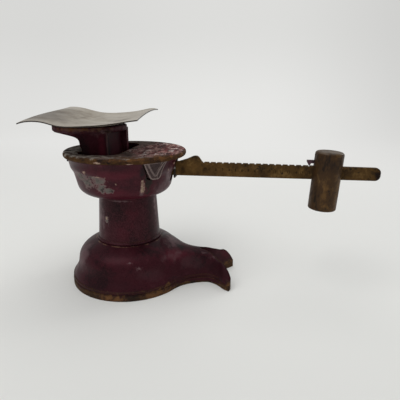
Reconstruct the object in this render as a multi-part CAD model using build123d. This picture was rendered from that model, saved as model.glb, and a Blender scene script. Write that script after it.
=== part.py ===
from build123d import *
import os
from math import acos, cos, degrees, radians, sin, sqrt

# Single-beam notched scale. Millimetres, +Z up, +X along the beam, origin on the floor
# under the column's axis. The operator stands on the -Y side.

# ---- cast stand -------------------------------------------------------------------
WALL = 4.0  # wall of the hollow castings
BASE_R = 60.4  # radius of the round foot above its rim
BASE_H = 45.8  # floor to the column's seat
RIM_H = 5.6  # height of the foot's rim band
RIM_OUT = 0.8  # how far the band stands out
BEAD_H = 1.8  # thin bead above the band
BEAD_GAP = 1.6  # groove between band and bead
BEAD_SHORT = 14.0  # the bead runs out this far before the toes' tips
DECK = 5.0  # thickness of the deck under the column
TAIL_YAW = 3.5  # the tail points this many degrees to the rear of the beam
TAIL_REACH = 54.0  # tail beyond the round foot
TAIL_TIP_SHIFT = 7.0  # the arc through the toes' tips is centred this far to the rear
NECK_H = 45.4  # ridge of the tail where it meets the column
NECK_OUT = 1.9  # ledge of the foot around the column
WAIST_AT = 0.51  # share of the tail's reach at its narrowest place
WAIST_HALF = 12.7  # half width there
WAIST_H = 33.8  # height there
TOE_SPREAD = 31.0  # half width across the two toes
TOE_H = 8.0  # height of the toes at their tips
TOE_CORNERS = (4.0, 9.0)  # rounding of the outer corners of the front and the rear toe
TOE_STATIONS = (  # share of the way from waist to tips, of the spread and of the drop
    (0.23, 0.20, 0.0),
    (0.38, 0.40, 0.01),
    (0.50, 0.63, 0.07),
    (0.65, 0.83, 0.22),
    (0.81, 0.96, 0.49),
    (0.95, 1.0, 0.83),
    (1.04, 1.0, 1.0),
)
TOE_NOTCH = (  # gap between the toes: share of the way to the tips, share of the spread
    (0.04, 0.08),
    (0.30, 0.20),
    (0.44, 0.32),
    (0.575, 0.48),
    (0.705, 0.615),
    (0.79, 0.705),
    (0.885, 0.82),
    (1.0, 0.96),
    (1.25, 1.22),
)
NOTCH_APEX = 15.6  # from the round foot to the apex of that gap
ARCH_POWER = 2.5  # the tail's cross-section is a superellipse of this power

COLUMN_H = 48.2
COLUMN_R_FOOT = 32.3
COLUMN_R_TOP = 29.3
COLUMN_BORE = 25.0
COLUMN_BEAD = 1.4  # bead around the column's foot
COLUMN_BEAD_R = 1.6
SPIGOT_H = 3.0
SPIGOT_GAP = 0.2  # radial gap of both spigots in the column

BOWL_SHIFT = -1.8  # the bowl sits this far off the column's axis
BOWL_H = 39.0
BOWL_R_SEAT = 30.0
BOWL_R_SHOULDER = 47.0
BOWL_R_STEP = 51.0  # under the small step
BOWL_R_LIP = 56.6
BOWL_STEP = 2.0
BOWL_FLOOR = 5.0

COVER_R = 61.0
COVER_T = 5.8
COVER_WEB = 3.8  # thickness inside the rim
COVER_EDGE = 2.6  # rounding of the rim
OPENING = (-16.2, 25.3, -43.9, 41.5)  # left and right of the load band, front and rear edge
OPENING_R = 14.0

TIE_R = 4.0
TIE_GAP = 0.3
TIE_HEAD_R = 7.0
TIE_HEAD_H = 2.8
TIE_NUT_AF = 13.0
TIE_NUT_H = 6.5
TIE_WASHER_R = 10.0
TIE_WASHER_T = 1.8
TIE_END = 3.0  # thread past the nut
COVER_SCREW_R = 1.5
COVER_SCREW_HEAD_R = 3.6
COVER_SCREW_HEAD_H = 1.4
COVER_SCREW_L = 9.0
COVER_SCREW_ANGLES = (154.8, 205.2)
SLOT_W = 0.8  # screwdriver slots

# ---- beam -------------------------------------------------------------------------
FULCRUM_INSET = 7.2  # fulcrum band's axis from the bowl's shoulder radius
LOAD_ARM = 58.4  # load band to fulcrum band
BEAM_T = 3.0
BEAM_DEPTH = 14.4
BEAM_UNDER = 19.4  # beam's bottom edge under the cover's seat
BEAM_ROOT = 16.5  # the beam's tongue reaches this far left of the fulcrum
BEAM_ROOT_DEPTH = 10.0  # of that tongue
BEAM_SHOULDER = 8.0  # full depth starts this far right of the fulcrum
BEAM_RAMP = 3.0  # length of the step from tongue to full depth
BEAM_BEYOND = 65.2  # beam past the last notch
BEAM_END_R = 4.8
BEAM_TAPER = 2.2  # the bottom edge rises this much towards the tip
BUMP = (  # past the cover's rim, rise
    (-6.0, 0.0),
    (2.0, 2.6),
    (7.6, 5.2),
    (9.6, 5.8),
    (12.2, 5.8),
    (14.0, 4.7),
    (17.4, 0.0),
)
NOTCHES = 17
NOTCH_PITCH = 6.35
NOTCH_ZERO = 18.7  # first notch past the cover's rim
NOTCH_W = 1.9
NOTCH_DEPTH = 0.9
BEAM_SLOT_HALF = 5.5  # half width of the slot in the bowl's wall
BEAM_SLOT_BELOW = 5.3  # the slot reaches this far under the beam
PIVOT_RISE = 0.2  # band axes over the middle of the beam's depth

BAND_W = 5.0
BAND_T = 0.4
BAND_SLOT = 0.7  # half height of the slot that each hub has around its band
BAND_SLOT_HALF_W = 3.2
BAND_CLAMP_T = 2.4
CLAMP_SCREW_R = 1.25
CLAMP_SCREW_HEAD_R = 2.4
CLAMP_SCREW_HEAD_H = 1.6
CLAMP_SCREW_L = 6.0

LEVER_T = 6.0
LEVER_CHEEK = 4.2  # half width of the middle bar
LEVER_BAR = (25.0, 18.5)  # cross bar: left and right face, left of the fulcrum
TINE_INSET = 15.0  # outer side of the tines from the bowl's step radius
TINE_T = 5.0
TINE_END = 6.0  # tines go this far past the load band
HUB_R = 4.5
HUB_HALF = 7.5
RIVET_R = 1.5
RIVET_BACK = (13.0, 7.5)  # rivets left of the fulcrum
RIVET_HEAD_R = 2.6
RIVET_HEAD_H = 1.2

LUG_TOP_W = 25.6
LUG_FOOT_W = 9.6
LUG_H = 16.4
LUG_FOOT_R = 4.0
LUG_OUT = 1.2
LUG_PROUD = 2.6  # the lug's foot stands this much further out than the bowl's side
LUG_T = 8.0
LUG_GAP = 1.0
LUG_BORDER = 3.8
ANCHOR_HALF = 3.5  # half width of the band's anchor
ANCHOR_L = 8.8  # anchor's length along the band
BAND_END = 3.2  # the band stops this far short of the anchor's end
BAND_ROOM = 1.0  # room around the clamp on the anchor
ANCHOR_H = 4.4
ANCHOR_GAP = 0.5  # the bowl's wall stays this far from the anchor
FLANGE_HALF = 5.0
FLANGE_IN = 10.0  # the flange reaches this far inboard of the anchor
FLANGE_T = 3.0
FLANGE_R = 50.6
LUG_SCREW_IN = 5.4  # the flange's screw is this far inboard of the anchor
LUG_SCREW_L = 5.0

GUIDE_OUT = 12.8  # staple right of the fulcrum
GUIDE_R = 1.0
GUIDE_HALF = 3.6
GUIDE_GAP = 0.3

# ---- platform ---------------------------------------------------------------------
DISC_R = 36.5
DISC_T = 5.4
DISC_EDGE = 1.2  # rounding of its rims
DISC_RISE = 23.5  # disc's top over the cover
DISC_BACK = 16.1  # disc's centre left of the load band
STEM_HALF_X = 14.1  # the pedestal's stem to each side of the load band
STEM_HALF = 27.5
STEM_FOOT = 6.0  # the flanges' feet over the load band
FLANGE_WEB = 6.0  # thickness of the front and rear flanges
WEB_HALF = 3.6
WEB_RIGHT = 8.6  # the stem's web reaches this far right of the load band
FRONT_SHORT = 2.0  # the front flange ends this far left of the rear one
FLARE = (  # how far the left edge runs out, at this depth under the disc
    (0.0, 15.0),
    (1.6, 10.9),
    (2.6, 7.0),
    (5.1, 5.1),
    (10.6, 3.4),
    (18.8, 1.7),
    (26.5, 0.0),
)

STAY_BACK = 9.0  # the stay's pivots lie this far left of the band axes
STAY_RISE = 10.0  # its pivots over the bowl's floor
STAY_EYE_R = 3.6
STAY_HALF = 2.0
STAY_DEPTH = 5.0
PIN_R = 1.5
PIN_GAP = 0.05
OPEN_PIN_GAP = 0.35
EAR_GAP = 0.4
EAR_T = 2.8
EAR_R = 3.2
BRACKET_T = 2.5
BRACKET_HALF_X = 4.5
BRACKET_HALF_Y = 10.5
BRACKET_SCREW_Y = 8.3
BRACKET_SCREW_R = 1.0
BRACKET_SCREW_HEAD_R = 1.7
PRONG_T = 2.4
STRAP_T = 3.4
STRAP_HALF = 4.6
STRAP_TOP = 18.0  # strap's top over the load band
PAD = (7.5, 18.5)  # foot and top of its pad on the web
STEM_SCREWS = (10.0, 15.5)

# ---- plate ------------------------------------------------------------------------
PLATE_BACK = 6.7  # plate's centre left of the load band
PLATE_YAW = 7.0
PLATE_W = 102.4
PLATE_L = 130.0
PLATE_T = 1.0
PLATE_GAP = 0.2
PLATE_ACROSS = (0.0, 0.14, 0.22, 0.32, 0.5, 0.66, 0.82, 0.94, 1.0)  # shares of the width
PLATE_BENDS = (  # share of the length, and the sheet's rise at each of those shares of the width
    (-0.5, (4.9, 7.1, 6.2, 3.5, 2.8, 3.8, 5.8, 7.8, 8.6)),
    (-0.17, (8.9, 7.6, 5.4, 2.4, 0.2, 0.8, 4.2, 8.8, 11.5)),
    (0.17, (10.7, 9.2, 6.6, 3.2, 0.6, 1.5, 5.8, 10.2, 12.3)),
    (0.5, (12.4, 11.5, 9.7, 7.2, 6.0, 7.1, 9.6, 11.7, 10.7)),
)

# ---- poise ------------------------------------------------------------------------
POISE_OFFSET = 17.6  # poise axis from the pawl's notch
POISE_R = 13.3
POISE_H = 56.2
POISE_BELOW = 27.8  # poise under the beam
POISE_LEAN = 2.8  # degrees that the hanging poise leans in the beam's plane
POISE_GAP = 0.35
POISE_UNDER = 0.8  # slot under the beam's deepest place
POISE_EDGE = 1.6  # rounding at its foot
POISE_CROWN = 2.8  # rounding at its top
POISE_SLOT_OVER = 10.4  # slot over the beam, for the pawl
CORE_R = 9.0
CORE_H = 17.0
CORE_FLOOR = 4.0
PLUG_R = 6.0
PLUG_SINK = 0.4
PAWL_PIN_RISE = 3.9  # pivot over the beam's top edge
PAWL_PIN_R = 1.2
PAWL_T = 2.8
PAWL_DEPTH = 3.0
PAWL_REACH = 20.1  # pivot to the tongue's end
PAWL_TAIL = 6.0
PAWL_HUB_R = 2.4
TOOTH_CLEAR = 0.15
TOOTH_W = 0.8

# ---- levels and places that follow ---------------------------------------------------
COLUMN_Z = BASE_H
BOWL_Z = COLUMN_Z + COLUMN_H
BOWL_TOP = BOWL_Z + BOWL_H
COVER_TOP = BOWL_TOP + COVER_T
FLOOR_Z = BOWL_Z + BOWL_FLOOR
BEAM_BOTTOM = BOWL_TOP - BEAM_UNDER
BEAM_TOP = BEAM_BOTTOM + BEAM_DEPTH
PIVOT_Z = BEAM_BOTTOM + BEAM_DEPTH / 2 + PIVOT_RISE
DISC_TOP = COVER_TOP + DISC_RISE
STEM_FOOT_Z = PIVOT_Z + STEM_FOOT
STAY_Z = FLOOR_Z + STAY_RISE
FULCRUM_X = BOWL_SHIFT + BOWL_R_SHOULDER - FULCRUM_INSET
GUIDE_X = FULCRUM_X + GUIDE_OUT
LOAD_X = FULCRUM_X - LOAD_ARM
DISC_X = LOAD_X - DISC_BACK
STAY_X = FULCRUM_X - STAY_BACK
OPEN_X = LOAD_X - STAY_BACK
NOTCH_ZERO_X = COVER_R + NOTCH_ZERO
NOTCH_LAST_X = NOTCH_ZERO_X + (NOTCHES - 1) * NOTCH_PITCH
BEAM_END_X = NOTCH_LAST_X + BEAM_BEYOND
POISE_X = NOTCH_LAST_X + POISE_OFFSET
PAWL_Z = BEAM_TOP + PAWL_PIN_RISE
LUG_FOOT_Z = BOWL_TOP - LUG_H
LUG_R = BOWL_R_STEP + LUG_OUT  # the lug's face at the band's level
LUG_ANGLE = degrees(acos((FULCRUM_X - BOWL_SHIFT) / LUG_R))
ANCHOR_OUTER = sqrt(LUG_R**2 - (FULCRUM_X - BOWL_SHIFT) ** 2)
ANCHOR_INNER = ANCHOR_OUTER - ANCHOR_L
TINE_OUTER = BOWL_R_STEP - TINE_INSET
TINE_INNER = TINE_OUTER - TINE_T


def cylinder(radius, height, x, y, z):
    """A cylinder that stands on height z."""
    return Pos(x, y, z) * Cylinder(radius, height, align=(Align.CENTER, Align.CENTER, Align.MIN))


def cross_cylinder(radius, y0, y1, x, z):
    """A cylinder along Y from y0 to y1."""
    length = y1 - y0
    return Pos(x, y0 + length / 2, z) * Rot(90, 0, 0) * Cylinder(radius, length)


def block(x0, x1, y0, y1, z0, z1):
    """A box between two corners."""
    size = Box(x1 - x0, y1 - y0, z1 - z0)
    return Pos((x0 + x1) / 2, (y0 + y1) / 2, (z0 + z1) / 2) * size


def plan(points, z0, z1):
    """A closed outline in plan, raised from z0 to z1."""
    face = make_face(Polyline(*points, close=True))
    return Pos(0, 0, z0) * extrude(face, z1 - z0)


def elevation(points, y0, y1):
    """A closed outline of (x, z) points, thick from y0 to y1."""
    face = make_face(Plane.XZ * Polyline(*points, close=True))
    return Pos(0, y1, 0) * extrude(face, y1 - y0, dir=(0, -1, 0))


def turned(edge_points, *rest):
    """A solid of revolution about Z: a curve through (r, z) points, closed by the rest."""
    curve = Spline(*[(r, 0, z) for r, z in edge_points])
    path = [(r, 0, z) for r, z in (edge_points[-1], *rest, edge_points[0])]
    return revolve(make_face(Curve() + [curve, Polyline(*path)]), Axis.Z)


def slotted_head(radius, height, x, y, z, up=1):
    """A cylinder head with a screwdriver slot; it grows up or down from z."""
    z0 = z if up > 0 else z - height
    head = cylinder(radius, height, x, y, z0)
    slot_z = z0 + height - SLOT_W if up > 0 else z0
    return head - block(x - radius, x + radius, y - SLOT_W / 2, y + SLOT_W / 2, slot_z, slot_z + SLOT_W)


# ---- base --------------------------------------------------------------------------


def toe_tip():
    return BASE_R + TAIL_REACH


def waist_x():
    return BASE_R + TAIL_REACH * WAIST_AT


def tail_stations(grow):
    """Half width and height of the tail's arch at places along its axis, grown by grow."""
    waist = waist_x()
    stations = [
        (COLUMN_R_FOOT * 0.4, BASE_R * 0.62, NECK_H),
        (COLUMN_R_FOOT * 1.1, BASE_R * 0.64, NECK_H),
        (BASE_R * 0.77, BASE_R * 0.585, NECK_H * 0.9),
        (BASE_R * 0.89, BASE_R * 0.475, WAIST_H * 1.104),
        (BASE_R * 1.05, BASE_R * 0.325, WAIST_H * 1.033),
        (waist - TAIL_REACH * 0.231, WAIST_HALF * 1.118, WAIST_H),
        (waist, WAIST_HALF, WAIST_H),
    ]
    for way, spread, drop in TOE_STATIONS:
        half = WAIST_HALF + (TOE_SPREAD - WAIST_HALF) * spread
        stations.append((waist + (toe_tip() - waist) * way, half, WAIST_H - (WAIST_H - TOE_H) * drop))
    return [(u, half + grow, height + grow) for u, half, height in stations]


def arch(u, half, height):
    """Half a superellipse standing on the floor, facing along the tail."""
    plane = Plane(origin=(u, 0, 0), x_dir=(0, 1, 0), z_dir=(1, 0, 0))
    points = []
    for degrees in range(0, 181, 20):
        across, up = cos(radians(degrees)), sin(radians(degrees))
        reach = abs(across) ** (2 / ARCH_POWER) * (1 if across > 0 else -1)
        points.append((half * reach, height * max(up, 0) ** (2 / ARCH_POWER)))
    top = Spline(*points, tangents=((0, 1), (0, -1)))
    return plane * make_face(Curve() + [top, Line(points[-1], points[0])])


def tail_body(grow, count=None):
    """The tail as a loft of arches; count keeps only the first of them."""
    return Rot(0, 0, TAIL_YAW) * loft([arch(*s) for s in tail_stations(grow)[:count]])


def foot_band(grow, z0, z1):
    """The foot's floor outline, round part and tail, raised from z0 to z1."""
    side = [(u, half + grow) for u, half, _ in tail_stations(0)[3:]]
    start = (side[0][0] - BASE_R / 3, side[0][1])
    far = Spline(*side)
    near = mirror(far, Plane.XZ)
    back = Polyline((side[0][0], side[0][1]), start, (start[0], -start[1]), (side[0][0], -side[0][1]))
    front = Line((side[-1][0], side[-1][1]), (side[-1][0], -side[-1][1]))
    face = make_face(Curve() + [far, near, back, front])
    strip = Pos(0, 0, z0) * extrude(face, z1 - z0)
    return cylinder(BASE_R + grow, z1 - z0, 0, 0, z0) + Rot(0, 0, TAIL_YAW) * strip


def dome(inset):
    """The round part of the foot, drawn in by inset on every side."""
    foot = BASE_R - inset
    top = BASE_H - inset
    neck = COLUMN_R_FOOT + NECK_OUT - inset
    span = foot - neck
    shape = (
        (1.0, 0.0),
        (1.0, 0.10),
        (0.975, 0.21),
        (0.82, 0.385),
        (0.765, 0.50),
        (0.725, 0.64),
        (0.56, 0.80),
        (0.36, 0.89),
        (0, 1),
    )
    points = [(neck + span * across, top * up) for across, up in shape]
    return turned(points, (0, top), (0, 0))


def toe_notch():
    """The cutter between the toes: a pointed gap that widens towards the tips."""
    apex = BASE_R + NOTCH_APEX
    side = [(apex + (toe_tip() - apex) * way, TOE_SPREAD * spread) for way, spread in TOE_NOTCH]
    far = Spline(*side)
    near = mirror(far, Plane.XZ)
    point = Polyline(side[0], (apex, 0), (side[0][0], -side[0][1]))
    mouth = Line(side[-1], (side[-1][0], -side[-1][1]))
    face = make_face(Curve() + [far, near, point, mouth])
    return Rot(0, 0, TAIL_YAW) * extrude(face, NECK_H)


def toe_trim():
    """The plan that the casting keeps: the round foot, and a tail with rounded toes."""
    reach = toe_tip()
    strip = Pos(reach / 2, 0) * Rectangle(reach * 1.2, 2 * (TOE_SPREAD + RIM_OUT))
    plan = Pos(0, TAIL_TIP_SHIFT) * Circle(reach) & Rot(0, 0, TAIL_YAW) * strip
    for side, radius in zip((0, -1), TOE_CORNERS):
        corners = plan.vertices().filter_by(lambda corner: corner.X > BASE_R).sort_by(Axis.Y)
        plan = fillet(corners[side], radius)
    return extrude(plan + Circle(BASE_R + RIM_OUT), BASE_H)


def base_casting():
    bead_z = RIM_H + BEAD_GAP
    bead = foot_band(RIM_OUT / 2, bead_z, bead_z + BEAD_H)
    bead &= cylinder(toe_tip() - BEAD_SHORT, BASE_H, 0, TAIL_TIP_SHIFT, 0)
    outer = dome(0) + tail_body(0) + foot_band(RIM_OUT, 0, RIM_H) + bead
    outer &= toe_trim()
    outer -= toe_notch()
    hollow = dome(WALL) + tail_body(-WALL, count=7)
    hollow &= cylinder(BASE_R + NOTCH_APEX - WALL, BASE_H - DECK, 0, 0, 0)
    casting = outer - hollow - cylinder(TIE_R + TIE_GAP, BASE_H, 0, 0, 0)
    spigot = cylinder(COLUMN_BORE - SPIGOT_GAP, SPIGOT_H, 0, 0, BASE_H)
    return casting + (spigot - cylinder(TIE_R + TIE_GAP, SPIGOT_H, 0, 0, BASE_H))


# ---- column and bowl ---------------------------------------------------------------


def column():
    cone = Cone(COLUMN_R_FOOT, COLUMN_R_TOP, COLUMN_H, align=(Align.CENTER, Align.CENTER, Align.MIN))
    body = Pos(0, 0, COLUMN_Z) * cone
    bead = Torus(COLUMN_R_FOOT + COLUMN_BEAD - COLUMN_BEAD_R, COLUMN_BEAD_R)
    bead = Pos(0, 0, COLUMN_Z + COLUMN_BEAD_R) * bead
    return body + bead - cylinder(COLUMN_BORE, COLUMN_H, 0, 0, COLUMN_Z)


def bowl_side(grow):
    """The bowl's outer side as (r, z) points, grown outwards by grow."""
    h = BOWL_H
    points = (
        (BOWL_R_SEAT, 0),
        (BOWL_R_SEAT + (BOWL_R_SHOULDER - BOWL_R_SEAT) * 0.52, h * 0.045),
        (BOWL_R_SHOULDER * 0.923, h * 0.11),
        (BOWL_R_SHOULDER * 0.987, h * 0.20),
        (BOWL_R_SHOULDER * 1.028, h * 0.37),
        (BOWL_R_STEP * 0.98, h * 0.55),
        (BOWL_R_STEP, h * 0.635),
        (BOWL_R_STEP + BOWL_STEP, h * 0.725),
        (BOWL_R_LIP * 0.961, h * 0.87),
        (BOWL_R_LIP, h),
    )
    return [(r + grow, BOWL_Z + z) for r, z in points]


def bowl_solid(grow):
    return Pos(BOWL_SHIFT, 0, 0) * turned(bowl_side(grow), (0, BOWL_TOP), (0, BOWL_Z))


def bowl_hollow():
    side = [(r, z) for r, z in bowl_side(-WALL) if z > FLOOR_Z + WALL / 2]
    points = [(BOWL_R_SHOULDER - WALL - BOWL_FLOOR, FLOOR_Z), *side]
    return Pos(BOWL_SHIFT, 0, 0) * turned(points, (0, BOWL_TOP), (0, FLOOR_Z))


def lug_prism(side, gap, r0=None):
    """The lug's shield outline, grown by gap, along the radius at the lug's angle."""
    r0 = r0 or BOWL_R_SHOULDER - 3 * WALL
    r1 = BOWL_R_LIP + WALL
    top = LUG_TOP_W / 2 + gap
    foot = LUG_FOOT_W / 2 + gap
    z0 = LUG_FOOT_Z - gap
    face = make_face(Polyline((-top, BOWL_TOP), (-foot, z0), (foot, z0), (top, BOWL_TOP), close=True))
    face = fillet(face.vertices().sort_by(Axis.Y)[:2], LUG_FOOT_R + gap)
    angle = radians(side * LUG_ANGLE)
    outward = (cos(angle), sin(angle), 0)
    plane = Plane(
        origin=(BOWL_SHIFT + r0 * outward[0], r0 * outward[1], 0),
        x_dir=(-outward[1], outward[0], 0),
        z_dir=outward,
    )
    return extrude(plane * face, r1 - r0, dir=outward)


def bowl():
    shell = bowl_solid(0) - bowl_hollow()
    slot_z = BEAM_BOTTOM - BEAM_SLOT_BELOW
    shell -= block(0, BOWL_R_LIP + WALL, -BEAM_SLOT_HALF, BEAM_SLOT_HALF, slot_z, BOWL_TOP)
    for side in (-1, 1):
        shell -= lug_prism(side, LUG_GAP)
        shell -= anchor(side, ANCHOR_GAP) + band_space(side)
    shell += cylinder(COLUMN_BORE - SPIGOT_GAP, SPIGOT_H + 0.5, 0, 0, BOWL_Z - SPIGOT_H)
    shell -= cylinder(TIE_R + TIE_GAP, BOWL_H, 0, 0, BOWL_Z - SPIGOT_H)
    for x, y in cover_screw_places():
        shell -= cylinder(COVER_SCREW_R, COVER_SCREW_L, x, y, cover_screw_foot())
    for x, y in bracket_screw_places():
        shell -= cylinder(BRACKET_SCREW_R, BOWL_FLOOR, x, y, BOWL_Z + 1)
    return shell


# ---- cover -------------------------------------------------------------------------


def cover_screw_places():
    r = BOWL_R_LIP - WALL / 2
    return [(BOWL_SHIFT + r * cos(radians(a)), r * sin(radians(a))) for a in COVER_SCREW_ANGLES]


def cover_screw_foot():
    return COVER_TOP - COVER_SCREW_HEAD_H - COVER_SCREW_L


def lug_screw_places():
    return [(FULCRUM_X, side * (ANCHOR_INNER - LUG_SCREW_IN)) for side in (-1, 1)]


def opening_cutter():
    left, right, front, rear = OPENING
    outline = RectangleRounded(right - left, rear - front, OPENING_R)
    face = Pos(LOAD_X + (left + right) / 2, (front + rear) / 2) * outline
    return Pos(0, 0, BOWL_TOP) * extrude(face, COVER_T)


def guide_legs():
    return [(GUIDE_X, side * GUIDE_HALF) for side in (-1, 1)]


def cover():
    plate = cylinder(COVER_R, COVER_T, 0, 0, BOWL_TOP)
    rims = plate.edges().filter_by(GeomType.CIRCLE)
    plate = fillet(rims, min(COVER_EDGE, COVER_T * 0.45))
    plate -= cylinder(FLANGE_R + 0.4, COVER_T - COVER_WEB, 0, 0, BOWL_TOP)
    plate -= opening_cutter()
    for x, y in cover_screw_places():
        plate -= cylinder(COVER_SCREW_R, COVER_T, x, y, BOWL_TOP)
        plate -= cylinder(COVER_SCREW_HEAD_R, COVER_SCREW_HEAD_H, x, y, COVER_TOP - COVER_SCREW_HEAD_H)
    for x, y in lug_screw_places():
        plate -= cylinder(CLAMP_SCREW_R, LUG_SCREW_L - FLANGE_T, x, y, flange_top())
    for x, y in guide_legs():
        plate -= cylinder(GUIDE_R, guide_leg_top() - BOWL_TOP, x, y, BOWL_TOP)
    return plate


def cover_screws():
    screws = []
    for x, y in cover_screw_places():
        z = COVER_TOP - COVER_SCREW_HEAD_H
        shank = cylinder(COVER_SCREW_R, COVER_SCREW_L, x, y, cover_screw_foot())
        screws.append(shank + slotted_head(COVER_SCREW_HEAD_R, COVER_SCREW_HEAD_H - 0.2, x, y, z))
    return screws


# ---- tie bolt ----------------------------------------------------------------------


def tie_nut_top():
    return BASE_H - DECK - TIE_WASHER_T


def tie_bolt():
    foot = tie_nut_top() - TIE_NUT_H - TIE_END
    shank = cylinder(TIE_R, FLOOR_Z - foot, 0, 0, foot)
    return shank + slotted_head(TIE_HEAD_R, TIE_HEAD_H, 0, 0, FLOOR_Z)


def tie_washer():
    ring = cylinder(TIE_WASHER_R, TIE_WASHER_T, 0, 0, tie_nut_top())
    return ring - cylinder(TIE_R + TIE_GAP, TIE_WASHER_T, 0, 0, tie_nut_top())


def tie_nut():
    hexagon = RegularPolygon(TIE_NUT_AF / 2, 6, major_radius=False)
    nut = Pos(0, 0, tie_nut_top() - TIE_NUT_H) * extrude(hexagon, TIE_NUT_H)
    return nut - cylinder(TIE_R, TIE_NUT_H, 0, 0, tie_nut_top() - TIE_NUT_H)


# ---- bearing lugs and fulcrum band -----------------------------------------------------


def flange_top():
    return BOWL_TOP + COVER_T - COVER_WEB


def anchor_top():
    return PIVOT_Z - BAND_T / 2


def clamp_screw_y():
    return (ANCHOR_INNER + ANCHOR_OUTER - BAND_END) / 2


def anchor(side, grow):
    """The block that carries one end of the fulcrum band, grown by grow."""
    x0, x1 = FULCRUM_X - ANCHOR_HALF - grow, FULCRUM_X + ANCHOR_HALF + grow
    y0, y1 = sorted((side * ANCHOR_INNER, side * (ANCHOR_OUTER + grow)))
    return block(x0, x1, y0, y1, anchor_top() - ANCHOR_H - grow, anchor_top() + grow)


def band_space(side):
    """The room over the anchor for the band's end, its clamp and the screw's head."""
    x0, x1 = FULCRUM_X - ANCHOR_HALF - BAND_ROOM, FULCRUM_X + ANCHOR_HALF + BAND_ROOM / 2
    y0, y1 = sorted((side * (ANCHOR_INNER - FLANGE_IN), side * (ANCHOR_OUTER - BAND_END + PLATE_GAP)))
    height = BAND_T + BAND_CLAMP_T + CLAMP_SCREW_HEAD_H + BAND_ROOM
    return block(x0, x1, y0, y1, anchor_top(), anchor_top() + height)


def lug_front(grow):
    """The bowl grown by grow, but upright from the step down, so that the lug's foot stands proud."""
    return bowl_solid(grow) + cylinder(
        BOWL_R_STEP + LUG_PROUD + grow, LUG_H, BOWL_SHIFT, 0, LUG_FOOT_Z
    )


def lug(side):
    """A shield-shaped lug in the bowl's wall, with a flange under the cover and a band anchor."""
    ring = lug_front(LUG_OUT) - bowl_solid(LUG_OUT - LUG_T)
    body = lug_prism(side, 0) & ring
    face_ring = lug_front(LUG_OUT + 1) - lug_front(0)
    body -= lug_prism(side, -LUG_BORDER, BOWL_R_SHOULDER) & face_ring
    body += anchor(side, 0)
    y0, y1 = sorted((side * (ANCHOR_INNER - FLANGE_IN), side * ANCHOR_OUTER))
    z1 = flange_top()
    flange = block(FULCRUM_X - FLANGE_HALF, FULCRUM_X + FLANGE_HALF, y0, y1, z1 - FLANGE_T, z1)
    body += flange & cylinder(FLANGE_R, FLANGE_T, 0, 0, z1 - FLANGE_T)
    body -= cylinder(CLAMP_SCREW_R, FLANGE_T, FULCRUM_X, side * (ANCHOR_INNER - LUG_SCREW_IN), z1 - FLANGE_T)
    body -= cylinder(CLAMP_SCREW_R, ANCHOR_H, FULCRUM_X, side * clamp_screw_y(), anchor_top() - ANCHOR_H)
    return body - band_space(side)


def lug_screws():
    z = flange_top() - FLANGE_T
    screws = []
    for x, y in lug_screw_places():
        shank = cylinder(CLAMP_SCREW_R, LUG_SCREW_L, x, y, z)
        screws.append(shank + slotted_head(CLAMP_SCREW_HEAD_R, CLAMP_SCREW_HEAD_H, x, y, z, up=-1))
    return screws


def band(x, half, screw_y):
    """A taut strip along Y with a screw hole near each end."""
    strip = block(x - BAND_W / 2, x + BAND_W / 2, -half, half, PIVOT_Z - BAND_T / 2, PIVOT_Z + BAND_T / 2)
    for side in (-1, 1):
        strip -= cylinder(CLAMP_SCREW_R, BAND_T, x, side * screw_y, PIVOT_Z - BAND_T / 2)
    return strip


def band_clamps(x, y0, y1, screw_y):
    """Two plates that press a band's ends down."""
    z = PIVOT_Z + BAND_T / 2
    plates = []
    for side in (-1, 1):
        low, high = sorted((side * y0, side * y1))
        plate = block(x - BAND_W / 2 - 0.5, x + BAND_W / 2 + 0.5, low, high, z, z + BAND_CLAMP_T)
        plates.append(plate - cylinder(CLAMP_SCREW_R, BAND_CLAMP_T, x, side * screw_y, z))
    return plates


def band_screws(x, screw_y):
    z = PIVOT_Z + BAND_T / 2 + BAND_CLAMP_T
    screws = []
    for side in (-1, 1):
        y = side * screw_y
        shank = cylinder(CLAMP_SCREW_R, CLAMP_SCREW_L, x, y, z - CLAMP_SCREW_L)
        screws.append(shank + slotted_head(CLAMP_SCREW_HEAD_R, CLAMP_SCREW_HEAD_H, x, y, z))
    return screws


def fulcrum_band():
    return band(FULCRUM_X, ANCHOR_OUTER - BAND_END, clamp_screw_y())


def fulcrum_clamps():
    return band_clamps(FULCRUM_X, ANCHOR_INNER, ANCHOR_OUTER - BAND_END, clamp_screw_y())


def fulcrum_clamp_screws():
    return band_screws(FULCRUM_X, clamp_screw_y())


# ---- beam guide and stay bracket -----------------------------------------------------


def guide_leg_top():
    return BOWL_TOP + COVER_T / 2


def beam_guide():
    """A steel staple that hangs from the cover around the beam and carries its low stop."""
    z0 = BEAM_BOTTOM - GUIDE_GAP - GUIDE_R
    legs = [cylinder(GUIDE_R, guide_leg_top() - z0, x, y, z0) for x, y in guide_legs()]
    bar = cross_cylinder(GUIDE_R, -GUIDE_HALF, GUIDE_HALF, GUIDE_X, z0)
    ends = [Pos(x, y, z0) * Sphere(GUIDE_R) for x, y in guide_legs()]
    return legs[0] + legs[1] + bar + ends[0] + ends[1]


def bracket_screw_places():
    return [(STAY_X, side * BRACKET_SCREW_Y) for side in (-1, 1)]


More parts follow.
